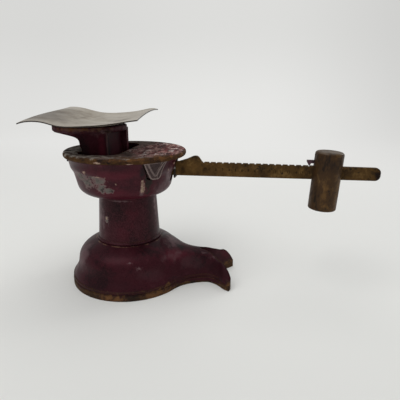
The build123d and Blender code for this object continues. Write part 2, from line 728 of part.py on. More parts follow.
def stay_bracket():
    x0, x1 = STAY_X - BRACKET_HALF_X, STAY_X + BRACKET_HALF_X
    body = block(x0, x1, -BRACKET_HALF_Y, BRACKET_HALF_Y, FLOOR_Z, FLOOR_Z + BRACKET_T)
    y0 = STAY_HALF + EAR_GAP
    for side in (-1, 1):
        low, high = sorted((side * y0, side * (y0 + EAR_T)))
        body += block(STAY_X - EAR_R, STAY_X + EAR_R, low, high, FLOOR_Z + BRACKET_T, STAY_Z)
        body += cross_cylinder(EAR_R, low, high, STAY_X, STAY_Z)
    body -= cross_cylinder(PIN_R, -y0 - EAR_T, y0 + EAR_T, STAY_X, STAY_Z)
    for x, y in bracket_screw_places():
        body -= cylinder(BRACKET_SCREW_R, BRACKET_T, x, y, FLOOR_Z)
    return body


def stay_bracket_screws():
    z = FLOOR_Z + BRACKET_T
    screws = []
    for x, y in bracket_screw_places():
        shank = cylinder(BRACKET_SCREW_R, BRACKET_T + BOWL_FLOOR - 2, x, y, FLOOR_Z - BOWL_FLOOR + 2)
        screws.append(shank + slotted_head(BRACKET_SCREW_HEAD_R, CLAMP_SCREW_HEAD_H, x, y, z))
    return screws


def stay_pin():
    y1 = STAY_HALF + EAR_GAP + EAR_T
    pin = cross_cylinder(PIN_R, -y1, y1, STAY_X, STAY_Z)
    return pin + cross_cylinder(PIN_R + 0.8, y1, y1 + 0.8, STAY_X, STAY_Z)


# ---- beam body -----------------------------------------------------------------------


def beam_bottom(x):
    """Height of the beam's bottom edge, which rises towards the tip."""
    return BEAM_BOTTOM + BEAM_TAPER * (x - GUIDE_X) / (BEAM_END_X - GUIDE_X)


def beam_outline():
    """The beam's side view: tongue, step, tapered bar and the bump on its top edge."""
    tongue_end = FULCRUM_X - BEAM_ROOT
    shoulder = FULCRUM_X + BEAM_SHOULDER
    tongue_top = PIVOT_Z + BEAM_ROOT_DEPTH / 2
    tongue_foot = PIVOT_Z - BEAM_ROOT_DEPTH / 2
    outline = [(tongue_end, tongue_foot), (shoulder - BEAM_RAMP, tongue_foot), (shoulder, BEAM_BOTTOM)]
    outline += [(GUIDE_X + GUIDE_R, BEAM_BOTTOM), (BEAM_END_X, beam_bottom(BEAM_END_X))]
    outline += [(BEAM_END_X, BEAM_TOP)]
    outline += [(COVER_R + x, BEAM_TOP + rise) for x, rise in reversed(BUMP)]
    return outline + [(shoulder, BEAM_TOP), (shoulder - BEAM_RAMP, tongue_top), (tongue_end, tongue_top)]


def notch(x):
    """The cutter for one notch in the beam's top edge."""
    top = BEAM_TOP + NOTCH_W / 4
    foot = BEAM_TOP - NOTCH_DEPTH
    wide, narrow = NOTCH_W * 0.6, NOTCH_W / 4
    outline = [(x - wide, top), (x - narrow, foot), (x + narrow, foot), (x + wide, top)]
    return elevation(outline, -BEAM_T, BEAM_T)


def rivet_places():
    return [FULCRUM_X - back for back in RIVET_BACK]


def beam():
    bar = elevation(beam_outline(), -BEAM_T / 2, BEAM_T / 2)
    corners = bar.edges().filter_by(Axis.Y).group_by(Axis.X)[-1]
    bar = fillet(corners, BEAM_END_R)
    for index in range(NOTCHES):
        bar -= notch(NOTCH_ZERO_X + index * NOTCH_PITCH)
    bar -= cross_cylinder(BAND_SLOT_HALF_W * 1.125, -BEAM_T, BEAM_T, FULCRUM_X, PIVOT_Z)
    for x in rivet_places():
        bar -= cross_cylinder(RIVET_R, -BEAM_T, BEAM_T, x, PIVOT_Z)
    return bar


def hub_slot(x, half):
    """The gap that a hub leaves around its band."""
    z0, z1 = PIVOT_Z - BAND_SLOT, PIVOT_Z + BAND_SLOT
    return block(x - BAND_SLOT_HALF_W, x + BAND_SLOT_HALF_W, -half, half, z0, z1)


def load_lever():
    """The iron fork: hub on the fulcrum band, cheeks around the beam, tines for the load band."""
    z0 = PIVOT_Z - LEVER_T / 2
    z1 = PIVOT_Z + LEVER_T / 2
    bar_x0, bar_x1 = (FULCRUM_X - back for back in LEVER_BAR)
    body = block(bar_x0, bar_x1, -TINE_OUTER, TINE_OUTER, z0, z1)
    body += block(bar_x0, FULCRUM_X + HUB_R, -LEVER_CHEEK, LEVER_CHEEK, z0, z1)
    for side in (-1, 1):
        low, high = sorted((side * TINE_INNER, side * TINE_OUTER))
        body += block(LOAD_X - TINE_END, bar_x1, low, high, z0, z1)
    body = fillet(body.edges().filter_by(Axis.Z).group_by(Axis.X)[-2], TINE_T * 0.3)
    body += cross_cylinder(HUB_R, -HUB_HALF, HUB_HALF, FULCRUM_X, PIVOT_Z)
    x0, x1 = FULCRUM_X - BEAM_ROOT, FULCRUM_X + 2 * HUB_R
    body -= block(x0, x1, -BEAM_T / 2, BEAM_T / 2, z0 - LEVER_T, z1 + LEVER_T)
    body -= hub_slot(FULCRUM_X, HUB_HALF)
    for x in rivet_places():
        body -= cross_cylinder(RIVET_R, -LEVER_CHEEK, LEVER_CHEEK, x, PIVOT_Z)
    for side in (-1, 1):
        low, high = sorted((side * TINE_INNER, side * TINE_OUTER))
        body -= block(LOAD_X - TINE_END, LOAD_X + TINE_END, low, high, PIVOT_Z - BAND_T / 2, z1)
        body -= cylinder(CLAMP_SCREW_R, LEVER_T, LOAD_X, side * load_screw_y(), z0)
    return body


def beam_rivets():
    """Rivets along Y with a low round head on each cheek."""
    rivets = []
    for x in rivet_places():
        rivet = cross_cylinder(RIVET_R, -LEVER_CHEEK, LEVER_CHEEK, x, PIVOT_Z)
        rivet += cross_cylinder(RIVET_HEAD_R, LEVER_CHEEK, LEVER_CHEEK + RIVET_HEAD_H, x, PIVOT_Z)
        rivet += cross_cylinder(RIVET_HEAD_R, -LEVER_CHEEK - RIVET_HEAD_H, -LEVER_CHEEK, x, PIVOT_Z)
        rivets.append(rivet)
    return rivets


def load_screw_y():
    return TINE_INNER + TINE_T / 2


def load_band():
    return band(LOAD_X, TINE_OUTER, load_screw_y())


def load_clamps():
    return band_clamps(LOAD_X, TINE_INNER, TINE_OUTER, load_screw_y())


def load_clamp_screws():
    return band_screws(LOAD_X, load_screw_y())


# ---- platform ------------------------------------------------------------------------


def flange_face():
    """Side view of a flange: straight on the right, curved out to the left under the disc."""
    left, right = LOAD_X - STEM_HALF_X, LOAD_X + STEM_HALF_X
    top = DISC_TOP - DISC_T
    points = [(left - out, top - depth) for out, depth in FLARE]
    lid = [(points[-1][0], top + DISC_T / 5), (right, top + DISC_T / 5)]
    side = Spline(*points)
    rest = Polyline(points[-1], *lid, (right, STEM_FOOT_Z), (left, STEM_FOOT_Z), points[0])
    return make_face(Plane.XZ * (Curve() + [side, rest]))


def stem_screw_hole(length, z):
    """A screw hole along X, from the left face of the strap."""
    hole = Cylinder(CLAMP_SCREW_R, length, align=(Align.CENTER, Align.CENTER, Align.MIN))
    return Pos(OPEN_X - STRAP_T / 2, 0, PIVOT_Z + z) * Rot(0, 90, 0) * hole


def pedestal():
    """The platform casting: disc, I-section stem, neck and the barrel around the load band."""
    top = DISC_TOP - DISC_T
    web_x0, web_x1 = LOAD_X - WEB_HALF, LOAD_X + WEB_HALF
    disc = cylinder(DISC_R, DISC_T, DISC_X, 0, top)
    body = fillet(disc.edges().filter_by(GeomType.CIRCLE), DISC_EDGE)
    for y in (STEM_HALF, -STEM_HALF + FLANGE_WEB):
        body += Pos(0, y, 0) * extrude(flange_face(), FLANGE_WEB, dir=(0, -1, 0))
    inside = STEM_HALF - FLANGE_WEB / 2
    body += block(web_x0, LOAD_X + WEB_RIGHT, -inside, inside, STEM_FOOT_Z, top + DISC_T / 2)
    edge_x = LOAD_X + STEM_HALF_X
    front_y = -STEM_HALF + FLANGE_WEB
    body -= block(edge_x - FRONT_SHORT, edge_x + 1, -STEM_HALF - 1, front_y, STEM_FOOT_Z - 1, top)
    pad_foot, pad_top = (PIVOT_Z + rise for rise in PAD)
    body += block(OPEN_X + STRAP_T / 2, LOAD_X, -STRAP_HALF, STRAP_HALF, pad_foot, pad_top)
    body += block(web_x0, web_x1, -HUB_HALF, HUB_HALF, PIVOT_Z, STEM_FOOT_Z + WEB_HALF)
    body += cross_cylinder(HUB_R, -HUB_HALF, HUB_HALF, LOAD_X, PIVOT_Z)
    body -= hub_slot(LOAD_X, HUB_HALF)
    for z in STEM_SCREWS:
        body -= stem_screw_hole(CLAMP_SCREW_L, z)
    return body


def check_stem():
    """A strap screwed to the pedestal; its two prongs hold the stay's open pivot."""
    x0, x1 = OPEN_X - STRAP_T / 2, OPEN_X + STRAP_T / 2
    inner = STAY_HALF + EAR_GAP
    outer = inner + PRONG_T
    body = block(x0, x1, -outer, outer, STAY_Z, PIVOT_Z + STRAP_TOP)
    for side in (-1, 1):
        low, high = sorted((side * inner, side * outer))
        body += cross_cylinder(EAR_R, low, high, OPEN_X, STAY_Z)
    fork_foot, fork_top = STAY_Z - 2 * EAR_R, STAY_Z + STAY_EYE_R + EAR_R
    body -= block(x0 - EAR_R, x1 + EAR_R, -inner, inner, fork_foot, fork_top)
    body -= cross_cylinder(PIN_R, -outer, outer, OPEN_X, STAY_Z)
    for z in STEM_SCREWS:
        body -= stem_screw_hole(STRAP_T, z)
    return body


def stem_screws():
    x0 = OPEN_X - STRAP_T / 2
    screws = []
    for z in STEM_SCREWS:
        upright = cylinder(CLAMP_SCREW_R, CLAMP_SCREW_L, 0, 0, 0)
        upright += slotted_head(CLAMP_SCREW_HEAD_R, CLAMP_SCREW_HEAD_H, 0, 0, 0, up=-1)
        screws.append(Pos(x0, 0, PIVOT_Z + z) * Rot(0, 90, 0) * upright)
    return screws


def stem_pin():
    outer = STAY_HALF + EAR_GAP + PRONG_T
    pin = cross_cylinder(PIN_R, -outer, outer, OPEN_X, STAY_Z)
    return pin + cross_cylinder(PIN_R + 0.8, outer, outer + 0.8, OPEN_X, STAY_Z)


def stay_link():
    """Flat link: a running fit on the stay pin, an open hole around the stem pin."""
    body = block(OPEN_X, STAY_X, -STAY_HALF, STAY_HALF, STAY_Z - STAY_DEPTH / 2, STAY_Z + STAY_DEPTH / 2)
    for x in (OPEN_X, STAY_X):
        body += cross_cylinder(STAY_EYE_R, -STAY_HALF, STAY_HALF, x, STAY_Z)
    body -= cross_cylinder(PIN_R + PIN_GAP, -STAY_HALF, STAY_HALF, STAY_X, STAY_Z)
    return body - cross_cylinder(PIN_R + OPEN_PIN_GAP, -STAY_HALF, STAY_HALF, OPEN_X, STAY_Z)


# ---- plate -----------------------------------------------------------------------------


def plate_section(y, rises):
    """Closed profile of the sheet across the plate at y."""
    low = [(PLATE_W * (share - 0.5), y, rise) for share, rise in zip(PLATE_ACROSS, rises)]
    high = [(x, y, z + PLATE_T) for x, y, z in low]
    lines = [Spline(*low), Line(low[-1], high[-1]), Spline(*high[::-1]), Line(high[0], low[0])]
    return make_face(Curve() + lines)


def plate():
    """The loose sheet, warped into a shallow trough with lifted edges."""
    sheet = loft([plate_section(PLATE_L * share, rises) for share, rises in PLATE_BENDS])
    lowest = sheet.bounding_box().min.Z
    return Pos(LOAD_X - PLATE_BACK, 0, DISC_TOP + PLATE_GAP - lowest) * Rot(0, 0, PLATE_YAW) * sheet


# ---- poise -----------------------------------------------------------------------------


def poise_bottom():
    """Height of the poise's foot over the pawl pin, so a negative number."""
    return BEAM_BOTTOM - POISE_BELOW - PAWL_Z


def hung(shape):
    """Hangs a shape that is drawn around the pawl pin on the beam, with the poise's lean."""
    return Pos(POISE_X, 0, PAWL_Z) * Rot(0, POISE_LEAN, 0) * shape


def pawl_pin_half():
    return POISE_R * 0.72


def poise():
    z0 = poise_bottom()
    reach = POISE_R + 1
    half = BEAM_T / 2 + POISE_GAP
    body = cylinder(POISE_R, POISE_H, 0, 0, z0)
    rims = body.edges().filter_by(GeomType.CIRCLE).sort_by(Axis.Z)
    body = fillet(rims[:1], POISE_EDGE)
    rims = body.edges().filter_by(GeomType.CIRCLE).sort_by(Axis.Z)
    body = fillet(rims[-1:], POISE_CROWN)
    slot_foot = BEAM_BOTTOM - POISE_UNDER - PAWL_Z
    body -= block(-reach, reach, -half, half, slot_foot, POISE_SLOT_OVER - PAWL_PIN_RISE)
    body -= cylinder(PLUG_R, CORE_FLOOR, 0, 0, z0)
    body -= cylinder(CORE_R, CORE_H, 0, 0, z0 + CORE_FLOOR)
    return hung(body - cross_cylinder(PAWL_PIN_R, -pawl_pin_half(), pawl_pin_half(), 0, 0))


def poise_core():
    return hung(cylinder(CORE_R, CORE_H, 0, 0, poise_bottom() + CORE_FLOOR))


def poise_plug():
    """Slotted plug that closes the poise's adjusting cavity."""
    z = poise_bottom() + PLUG_SINK
    plug = cylinder(PLUG_R, CORE_FLOOR - PLUG_SINK, 0, 0, z)
    return hung(plug - block(-PLUG_R, PLUG_R, -SLOT_W / 2, SLOT_W / 2, z, z + 2 * SLOT_W))


def pawl_pin():
    return cross_cylinder(PAWL_PIN_R, -pawl_pin_half(), pawl_pin_half(), POISE_X, PAWL_Z)


def pawl():
    """A thin tongue on the pawl pin; its tooth stands just over the notch crests."""
    top = PAWL_Z + PAWL_DEPTH / 2
    under = PAWL_Z - PAWL_DEPTH / 2
    tip = BEAM_TOP + TOOTH_CLEAR
    left = POISE_X - PAWL_REACH
    tooth = NOTCH_LAST_X
    outline = [(left, top), (left, PAWL_Z), (tooth - TOOTH_W / 2, tip), (tooth + TOOTH_W / 2, tip)]
    outline += [(tooth + PAWL_DEPTH / 2, under), (POISE_X + PAWL_TAIL, under), (POISE_X + PAWL_TAIL, top)]
    body = elevation(outline, -PAWL_T / 2, PAWL_T / 2)
    body += cross_cylinder(PAWL_HUB_R, -PAWL_T / 2, PAWL_T / 2, POISE_X, PAWL_Z)
    return body - cross_cylinder(PAWL_PIN_R + PIN_GAP, -PAWL_T, PAWL_T, POISE_X, PAWL_Z)


# ---- writing ---------------------------------------------------------------------------

NODES = {
    "base_casting": base_casting,
    "column": column,
    "bowl": bowl,
    "cover": cover,
    "cover_screws": cover_screws,
    "tie_bolt": tie_bolt,
    "tie_washer": tie_washer,
    "tie_nut": tie_nut,
    "front_lug": lambda: lug(-1),
    "rear_lug": lambda: lug(1),
    "lug_screws": lug_screws,
    "fulcrum_band": fulcrum_band,
    "fulcrum_clamps": fulcrum_clamps,
    "fulcrum_clamp_screws": fulcrum_clamp_screws,
    "beam_guide": beam_guide,
    "stay_bracket": stay_bracket,
    "stay_bracket_screws": stay_bracket_screws,
    "stay_pin": stay_pin,
    "beam": beam,
    "load_lever": load_lever,
    "beam_rivets": beam_rivets,
    "load_band": load_band,
    "load_clamps": load_clamps,
    "load_clamp_screws": load_clamp_screws,
    "pedestal": pedestal,
    "check_stem": check_stem,
    "stem_screws": stem_screws,
    "stem_pin": stem_pin,
    "stay_link": stay_link,
    "plate": plate,
    "poise": poise,
    "poise_core": poise_core,
    "poise_plug": poise_plug,
    "pawl_pin": pawl_pin,
    "pawl": pawl,
}

def one_shape(made):
    """A node's shape: a single piece, or a group of separate solids."""
    if not isinstance(made, list):
        return made
    return Compound(children=[solid for piece in made for solid in piece.solids()])


os.makedirs("parts", exist_ok=True)
for name, make in NODES.items():
    export_step(one_shape(make()), f"parts/{name}.step")
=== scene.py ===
"""Finishes for a single-beam notched scale: worn enamel, aged brass, dull sheet and a soft studio.

Lengths are metres in the part's own frame: +Z up, +X along the beam, the operator on the -Y side.
"""

import logging
import math
from dataclasses import dataclass
from enum import Enum

import bpy
from mathutils import Matrix, Vector


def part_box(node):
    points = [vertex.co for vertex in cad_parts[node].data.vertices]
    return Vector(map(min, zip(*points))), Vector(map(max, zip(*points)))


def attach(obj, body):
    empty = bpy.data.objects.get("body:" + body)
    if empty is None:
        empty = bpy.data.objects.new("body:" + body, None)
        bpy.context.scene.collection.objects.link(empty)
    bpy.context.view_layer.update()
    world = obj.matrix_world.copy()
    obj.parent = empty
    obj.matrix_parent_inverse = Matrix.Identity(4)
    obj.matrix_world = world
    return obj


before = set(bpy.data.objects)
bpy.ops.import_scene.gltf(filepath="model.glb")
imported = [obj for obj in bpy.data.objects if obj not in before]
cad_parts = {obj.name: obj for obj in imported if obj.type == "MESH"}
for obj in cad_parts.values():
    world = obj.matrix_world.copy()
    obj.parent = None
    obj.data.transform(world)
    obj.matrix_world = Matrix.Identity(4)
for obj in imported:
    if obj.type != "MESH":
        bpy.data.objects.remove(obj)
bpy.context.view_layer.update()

MM = 0.001
BEVEL_SAMPLES = 6
SHARP_ANGLE = math.radians(38)  # edges sharper than this are rounded
WELD_REACH = 0.001 * MM
LOG = logging.getLogger("notched_scale")

Colour = tuple[float, float, float]
Triple = tuple[float, float, float]


class Slot(Enum):
    """Material slots of the record; no piece in this script takes its finish from them."""

    BRASS = "aged_brass"


class Body(Enum):
    """Bodies that new pieces ride on."""

    BEAM = "beam_body"


class Mark(Enum):
    """What a patch on a finish shows."""

    PRIMER = "primer"  # enamel gone down to the grey-green undercoat, with a pinkish broken rim
    CREAM = "cream"  # a pale, dry chip; two small ones on the bowl are painted highlights
    STAIN = "stain"  # a dark brown run
    RUST = "rust"  # brown bare iron
    HAZE = "haze"  # greyed, rubbed enamel without a sharp edge; in several places painted sheen and painted highlights
    FRESH = "fresh"  # painted light: redder, brighter enamel where light falls on it
    GRIME = "grime"  # dark dirt without a sharp edge; in several places painted shade and painted shadow
    GLINT = "glint"  # brass rubbed bright, without a sharp edge; on the poise a painted highlight
    DULL = "dull"  # painted shade: sheet darker where less light and reflection fall, and along its creases
    SHEEN = "sheen"  # painted sheen: paler colour standing in for lit places, reflections and glints


SOFT_MARKS = frozenset({Mark.HAZE, Mark.FRESH, Mark.GRIME, Mark.GLINT, Mark.DULL, Mark.SHEEN})


def metres(millimetres: Triple) -> Triple:
    """Turns a point or size in millimetres into metres."""
    return tuple(value * MM for value in millimetres)


# ---- node helpers --------------------------------------------------------------------


class Graph:
    """A node tree with short calls for adding and joining nodes."""

    def __init__(self, tree: bpy.types.NodeTree) -> None:
        """Starts on an empty tree.

        Args:
            tree: the material's or group's node tree; what it holds is removed.
        """
        self.tree = tree
        tree.nodes.clear()

    def add(self, kind: str, **settings: object) -> bpy.types.Node:
        """Adds a node.

        Args:
            kind: Blender's name of the node type.
            settings: attributes of the node to set.

        Returns:
            The new node.
        """
        node = self.tree.nodes.new(kind)
        for name, value in settings.items():
            setattr(node, name, value)
        return node

    def feed(self, socket: bpy.types.NodeSocket, value: object) -> None:
        """Gives an input a link or a plain value.

        Args:
            socket: the input.
            value: an output socket, a number or a tuple.
        """
        if isinstance(value, bpy.types.NodeSocket):
            self.tree.links.new(value, socket)
        elif socket.type == "RGBA" and len(value) == 3:
            socket.default_value = (*value, 1.0)
        else:
            socket.default_value = value

    def math(self, operation: str, a: object, b: object = 0.0, clamp: bool = False) -> bpy.types.NodeSocket:
        """One scalar operation.

        Args:
            operation: the Math node's operation.
            a: first operand.
            b: second operand.
            clamp: keep the result from 0 to 1.

        Returns:
            The result's socket.
        """
        node = self.add("ShaderNodeMath", operation=operation, use_clamp=clamp)
        self.feed(node.inputs[0], a)
        self.feed(node.inputs[1], b)
        return node.outputs[0]

    def vector(self, operation: str, a: object, b: object = (0.0, 0.0, 0.0)) -> bpy.types.Node:
        """One vector operation.

        Args:
            operation: the Vector Math node's operation.
            a: first operand.
            b: second operand.

        Returns:
            The node, whose outputs are Vector and Value.
        """
        node = self.add("ShaderNodeVectorMath", operation=operation)
        self.feed(node.inputs[0], a)
        self.feed(node.inputs[1], b)
        return node

    def mix(self, share: object, a: object, b: object) -> bpy.types.NodeSocket:
        """Mixes two colours.

        Args:
            share: how much of the second colour.
            a: first colour.
            b: second colour.

        Returns:
            The mixed colour's socket.
        """
        node = self.add("ShaderNodeMix", data_type="RGBA", clamp_factor=True)
        self.feed(node.inputs[0], share)
        self.feed(node.inputs[6], a)
        self.feed(node.inputs[7], b)
        return node.outputs[2]

    def blend_values(self, share: object, a: object, b: object) -> bpy.types.NodeSocket:
        """Mixes two numbers.

        Args:
            share: how much of the second number.
            a: first number.
            b: second number.

        Returns:
            The mixed number's socket.
        """
        node = self.add("ShaderNodeMix", data_type="FLOAT", clamp_factor=True)
        self.feed(node.inputs[0], share)
        self.feed(node.inputs[2], a)
        self.feed(node.inputs[3], b)
        return node.outputs[0]

    def step(self, value: object, low: object, high: object) -> bpy.types.NodeSocket:
        """A soft step from 0 at low to 1 at high.

        Args:
            value: the number to grade.
            low: where the step starts.
            high: where it ends; it may be under low, for a falling step.

        Returns:
            The graded number's socket.
        """
        node = self.add("ShaderNodeMapRange", interpolation_type="SMOOTHSTEP", clamp=True)
        self.feed(node.inputs["Value"], value)
        self.feed(node.inputs["From Min"], low)
        self.feed(node.inputs["From Max"], high)
        return node.outputs[0]

    def noise(
        self,
        vector: object,
        scale: object,
        detail: float = 4.0,
        roughness: float = 0.55,
        distortion: float = 0.0,
    ) -> bpy.types.NodeSocket:
        """Fractal noise around 0.5.

        Args:
            vector: where it is read.
            scale: waves per metre.
            detail: how many octaves.
            roughness: how strong the fine octaves are.
            distortion: how much the waves are bent.

        Returns:
            The noise value's socket.
        """
        node = self.add("ShaderNodeTexNoise")
        self.feed(node.inputs["Vector"], vector)
        self.feed(node.inputs["Scale"], scale)
        self.feed(node.inputs["Detail"], detail)
        self.feed(node.inputs["Roughness"], roughness)
        self.feed(node.inputs["Distortion"], distortion)
        return node.outputs["Fac"]

    def place(self) -> bpy.types.NodeSocket:
        """The point on the piece, in its own frame."""
        return self.add("ShaderNodeTexCoord").outputs["Object"]

    def upward(self) -> bpy.types.NodeSocket:
        """How far the surface looks up: 1 for a floor, 0 for a wall."""
        return self.axis(self.add("ShaderNodeNewGeometry").outputs["Normal"], 2)

    def sway(
        self, vector: object, scale: object, detail: float, roughness: float, reach: object
    ) -> bpy.types.NodeSocket:
        """Noise that swings evenly to both sides of zero.

        Args:
            vector: where it is read.
            scale: waves per metre.
            detail: how many octaves.
            roughness: how strong the fine octaves are.
            reach: what it is multiplied by.

        Returns:
            The swing's socket.
        """
        centred = self.math("SUBTRACT", self.noise(vector, scale, detail, roughness), 0.5)
        return self.math("MULTIPLY", centred, reach)

    def axis(self, vector: object, index: int) -> bpy.types.NodeSocket:
        """One coordinate of a vector.

        Args:
            vector: the vector's socket.
            index: 0, 1 or 2 for X, Y or Z.

        Returns:
            The coordinate's socket.
        """
        node = self.add("ShaderNodeSeparateXYZ")
        self.feed(node.inputs[0], vector)
        return node.outputs[index]

    def group(self, tree: bpy.types.NodeTree, **values: object) -> bpy.types.Node:
        """Places a node group.

        Args:
            tree: the group.
            values: inputs by name, with _ for a space.

        Returns:
            The group's node.
        """
        node = self.add("ShaderNodeGroup", node_tree=tree)
        for name, value in values.items():
            self.feed(node.inputs[name.replace("_", " ")], value)
        return node


class Effects:
    """Node groups that several finishes share, each built once."""

    def __init__(self) -> None:
        """Builds every group."""
        self.wear = self._wear()
        self.tones = self._tones()
        self.patch = self._patch()
        self.skin = self._skin()
        self.flecks = self._flecks()
        self.dust = self._dust()
        self.scratches = self._scratches()

    @staticmethod
    def _start(name: str, inputs: dict[str, tuple[str, object]], outputs: dict[str, str]) -> Graph:
        """Makes an empty group with its sockets.

        Args:
            name: the group's name.
            inputs: socket name to its kind and default value.
            outputs: socket name to its kind.

        Returns:
            The group's graph.
        """
        tree = bpy.data.node_groups.new(name, "ShaderNodeTree")
        for label, (kind, value) in inputs.items():
            socket = tree.interface.new_socket(name=label, in_out="INPUT", socket_type=f"NodeSocket{kind}")
            socket.default_value = value
        for label, kind in outputs.items():
            tree.interface.new_socket(name=label, in_out="OUTPUT", socket_type=f"NodeSocket{kind}")
        return Graph(tree)

    def _wear(self) -> bpy.types.NodeTree:
        """Mask of the edges that hands and cloths have rubbed, broken up by noise."""
        inputs = {
            "Width": ("Float", 0.8 * MM),
            "Amount": ("Float", 0.5),
            "Scale": ("Float", 300.0),
        }
        g = self._start("rubbed_edges", inputs, {"Mask": "Float"})
        given = g.add("NodeGroupInput").outputs
        rounded = g.add("ShaderNodeBevel", samples=BEVEL_SAMPLES)
        g.feed(rounded.inputs["Radius"], given["Width"])
        true_normal = g.add("ShaderNodeNewGeometry").outputs["Normal"]
        same = g.vector("DOT_PRODUCT", rounded.outputs["Normal"], true_normal).outputs["Value"]
        edge = g.math("SUBTRACT", 1.0, same)
        broken = g.noise(g.place(), given["Scale"], 5.0, 0.65)
        reach = g.math("MULTIPLY", g.math("MULTIPLY", edge, 6.0), g.math("ADD", broken, 0.35))
        limit = g.math("SUBTRACT", 1.0, given["Amount"])
        mask = g.step(reach, limit, g.math("ADD", limit, 0.35))
        g.feed(g.add("NodeGroupOutput").inputs["Mask"], mask)
        return g.tree

    def _tones(self) -> bpy.types.NodeTree:
        """Three colours spread over the surface by two scales of noise."""
        inputs = {
            "Dark": ("Color", (0.0, 0.0, 0.0, 1.0)),
            "Middle": ("Color", (0.0, 0.0, 0.0, 1.0)),
            "Light": ("Color", (0.0, 0.0, 0.0, 1.0)),
            "Scale": ("Float", 60.0),
            "Balance": ("Float", 0.5),
            "Stretch": ("Vector", (1.0, 1.0, 1.0)),
        }
        g = self._start("three_tones", inputs, {"Colour": "Color", "Value": "Float"})
        given = g.add("NodeGroupInput").outputs
        where = g.vector("MULTIPLY", g.place(), given["Stretch"]).outputs["Vector"]
        broad = g.noise(where, given["Scale"], 6.0, 0.62, 0.4)
        fine = g.noise(where, g.math("MULTIPLY", given["Scale"], 6.3), 4.0, 0.6)
        value = g.math("ADD", g.math("MULTIPLY", broad, 0.72), g.math("MULTIPLY", fine, 0.28))
        value = g.math("ADD", value, g.math("SUBTRACT", given["Balance"], 0.5))
        low = g.mix(g.step(value, 0.36, 0.50), given["Dark"], given["Middle"])
        colour = g.mix(g.step(value, 0.52, 0.66), low, given["Light"])
        out = g.add("NodeGroupOutput").inputs
        g.feed(out["Colour"], colour)
        g.feed(out["Value"], value)
        return g.tree

    def _patch(self) -> bpy.types.NodeTree:
        """An island around a point, for damage and for painted light and shade, with a ragged outline, and
        the band along that outline.
        """
        inputs = {
            "Centre": ("Vector", (0.0, 0.0, 0.0)),
            "Reach": ("Vector", (0.01, 0.01, 0.01)),
            "Ragged": ("Float", 0.9),
            "Scale": ("Float", 220.0),
        }
        g = self._start("patch_island", inputs, {"Mask": "Float", "Rim": "Float", "Soft": "Float"})
        given = g.add("NodeGroupInput").outputs
        point = g.place()
        away = g.vector("SUBTRACT", point, given["Centre"]).outputs["Vector"]
        away = g.vector("DIVIDE", away, given["Reach"]).outputs["Vector"]
        distance = g.vector("LENGTH", away).outputs["Value"]
        rough = g.math("SUBTRACT", g.noise(point, given["Scale"], 6.0, 0.62), 0.5)
        level = g.math("ADD", distance, g.math("MULTIPLY", g.math("MULTIPLY", rough, given["Ragged"]), 4.0))
        out = g.add("NodeGroupOutput").inputs
        g.feed(out["Mask"], g.step(level, 1.04, 0.94))
        outer = g.step(level, 1.34, 1.04)
        inner = g.step(level, 0.62, 0.96)
        g.feed(out["Rim"], g.math("MULTIPLY", outer, inner))
        g.feed(out["Soft"], g.step(level, 1.25, 0.15))
        return g.tree

    def _skin(self) -> bpy.types.NodeTree:
        """Height in metres of a cast and painted surface: low lumps and a fine orange peel."""
        inputs = {
            "Lumps": ("Float", 0.12 * MM),
            "Lump Scale": ("Float", 90.0),
            "Peel": ("Float", 0.02 * MM),
            "Peel Scale": ("Float", 900.0),
        }
        g = self._start("cast_skin", inputs, {"Height": "Float"})
        given = g.add("NodeGroupInput").outputs
        lumps = g.math("MULTIPLY", g.noise(g.place(), given["Lump Scale"], 3.0, 0.5), given["Lumps"])
        peel = g.math("MULTIPLY", g.noise(g.place(), given["Peel Scale"], 3.0, 0.6), given["Peel"])
        g.feed(g.add("NodeGroupOutput").inputs["Height"], g.math("ADD", lumps, peel))
        return g.tree

    def _flecks(self) -> bpy.types.NodeTree:
        """Small sharp specks where a coating has flown off."""
        inputs = {
            "Scale": ("Float", 260.0),
            "Amount": ("Float", 0.3),
        }
        g = self._start("flecks", inputs, {"Mask": "Float"})
        given = g.add("NodeGroupInput").outputs
        where = g.place()
        value = g.noise(where, given["Scale"], 3.0, 0.7, 0.6)
        gate = g.noise(where, g.math("MULTIPLY", given["Scale"], 0.13), 2.0, 0.5)
        value = g.math("ADD", value, g.math("MULTIPLY", g.math("SUBTRACT", gate, 0.5), 0.45))
        limit = g.math("SUBTRACT", 0.86, g.math("MULTIPLY", given["Amount"], 0.3))
        g.feed(g.add("NodeGroupOutput").inputs["Mask"], g.step(value, limit, g.math("ADD", limit, 0.025)))
        return g.tree

    def _dust(self) -> bpy.types.NodeTree:
        """Mask of dust and dried grime on faces that look up, thicker where noise says."""
        inputs = {"Amount": ("Float", 0.5), "Scale": ("Float", 120.0)}
        g = self._start("settled_dust", inputs, {"Mask": "Float"})
        given = g.add("NodeGroupInput").outputs
        level = g.step(g.upward(), 0.25, 0.95)
        spread = g.step(g.noise(g.place(), given["Scale"], 5.0, 0.6), 0.35, 0.75)
        mask = g.math("MULTIPLY", g.math("MULTIPLY", level, spread), given["Amount"], clamp=True)
        g.feed(g.add("NodeGroupOutput").inputs["Mask"], mask)
        return g.tree

    def _scratches(self) -> bpy.types.NodeTree:
        """Mask of fine scratches that run along one axis."""
        inputs = {"Stretch": ("Vector", (40.0, 900.0, 900.0)), "Amount": ("Float", 0.4)}
        g = self._start("scratches", inputs, {"Mask": "Float"})
        given = g.add("NodeGroupInput").outputs
        where = g.vector("MULTIPLY", g.place(), given["Stretch"]).outputs["Vector"]
        lines = g.noise(where, 1.0, 4.0, 0.7, 0.15)
        limit = g.math("SUBTRACT", 0.78, g.math("MULTIPLY", given["Amount"], 0.25))
        g.feed(g.add("NodeGroupOutput").inputs["Mask"], g.step(lines, limit, g.math("ADD", limit, 0.05)))
        return g.tree


def new_graph(name: str) -> tuple[bpy.types.Material, Graph]:
    """Makes an empty node material.

    Args:
        name: the material's name.

    Returns:
        The material and its graph.
    """
    material = bpy.data.materials.new(name)
    material.use_nodes = True
    return material, Graph(material.node_tree)


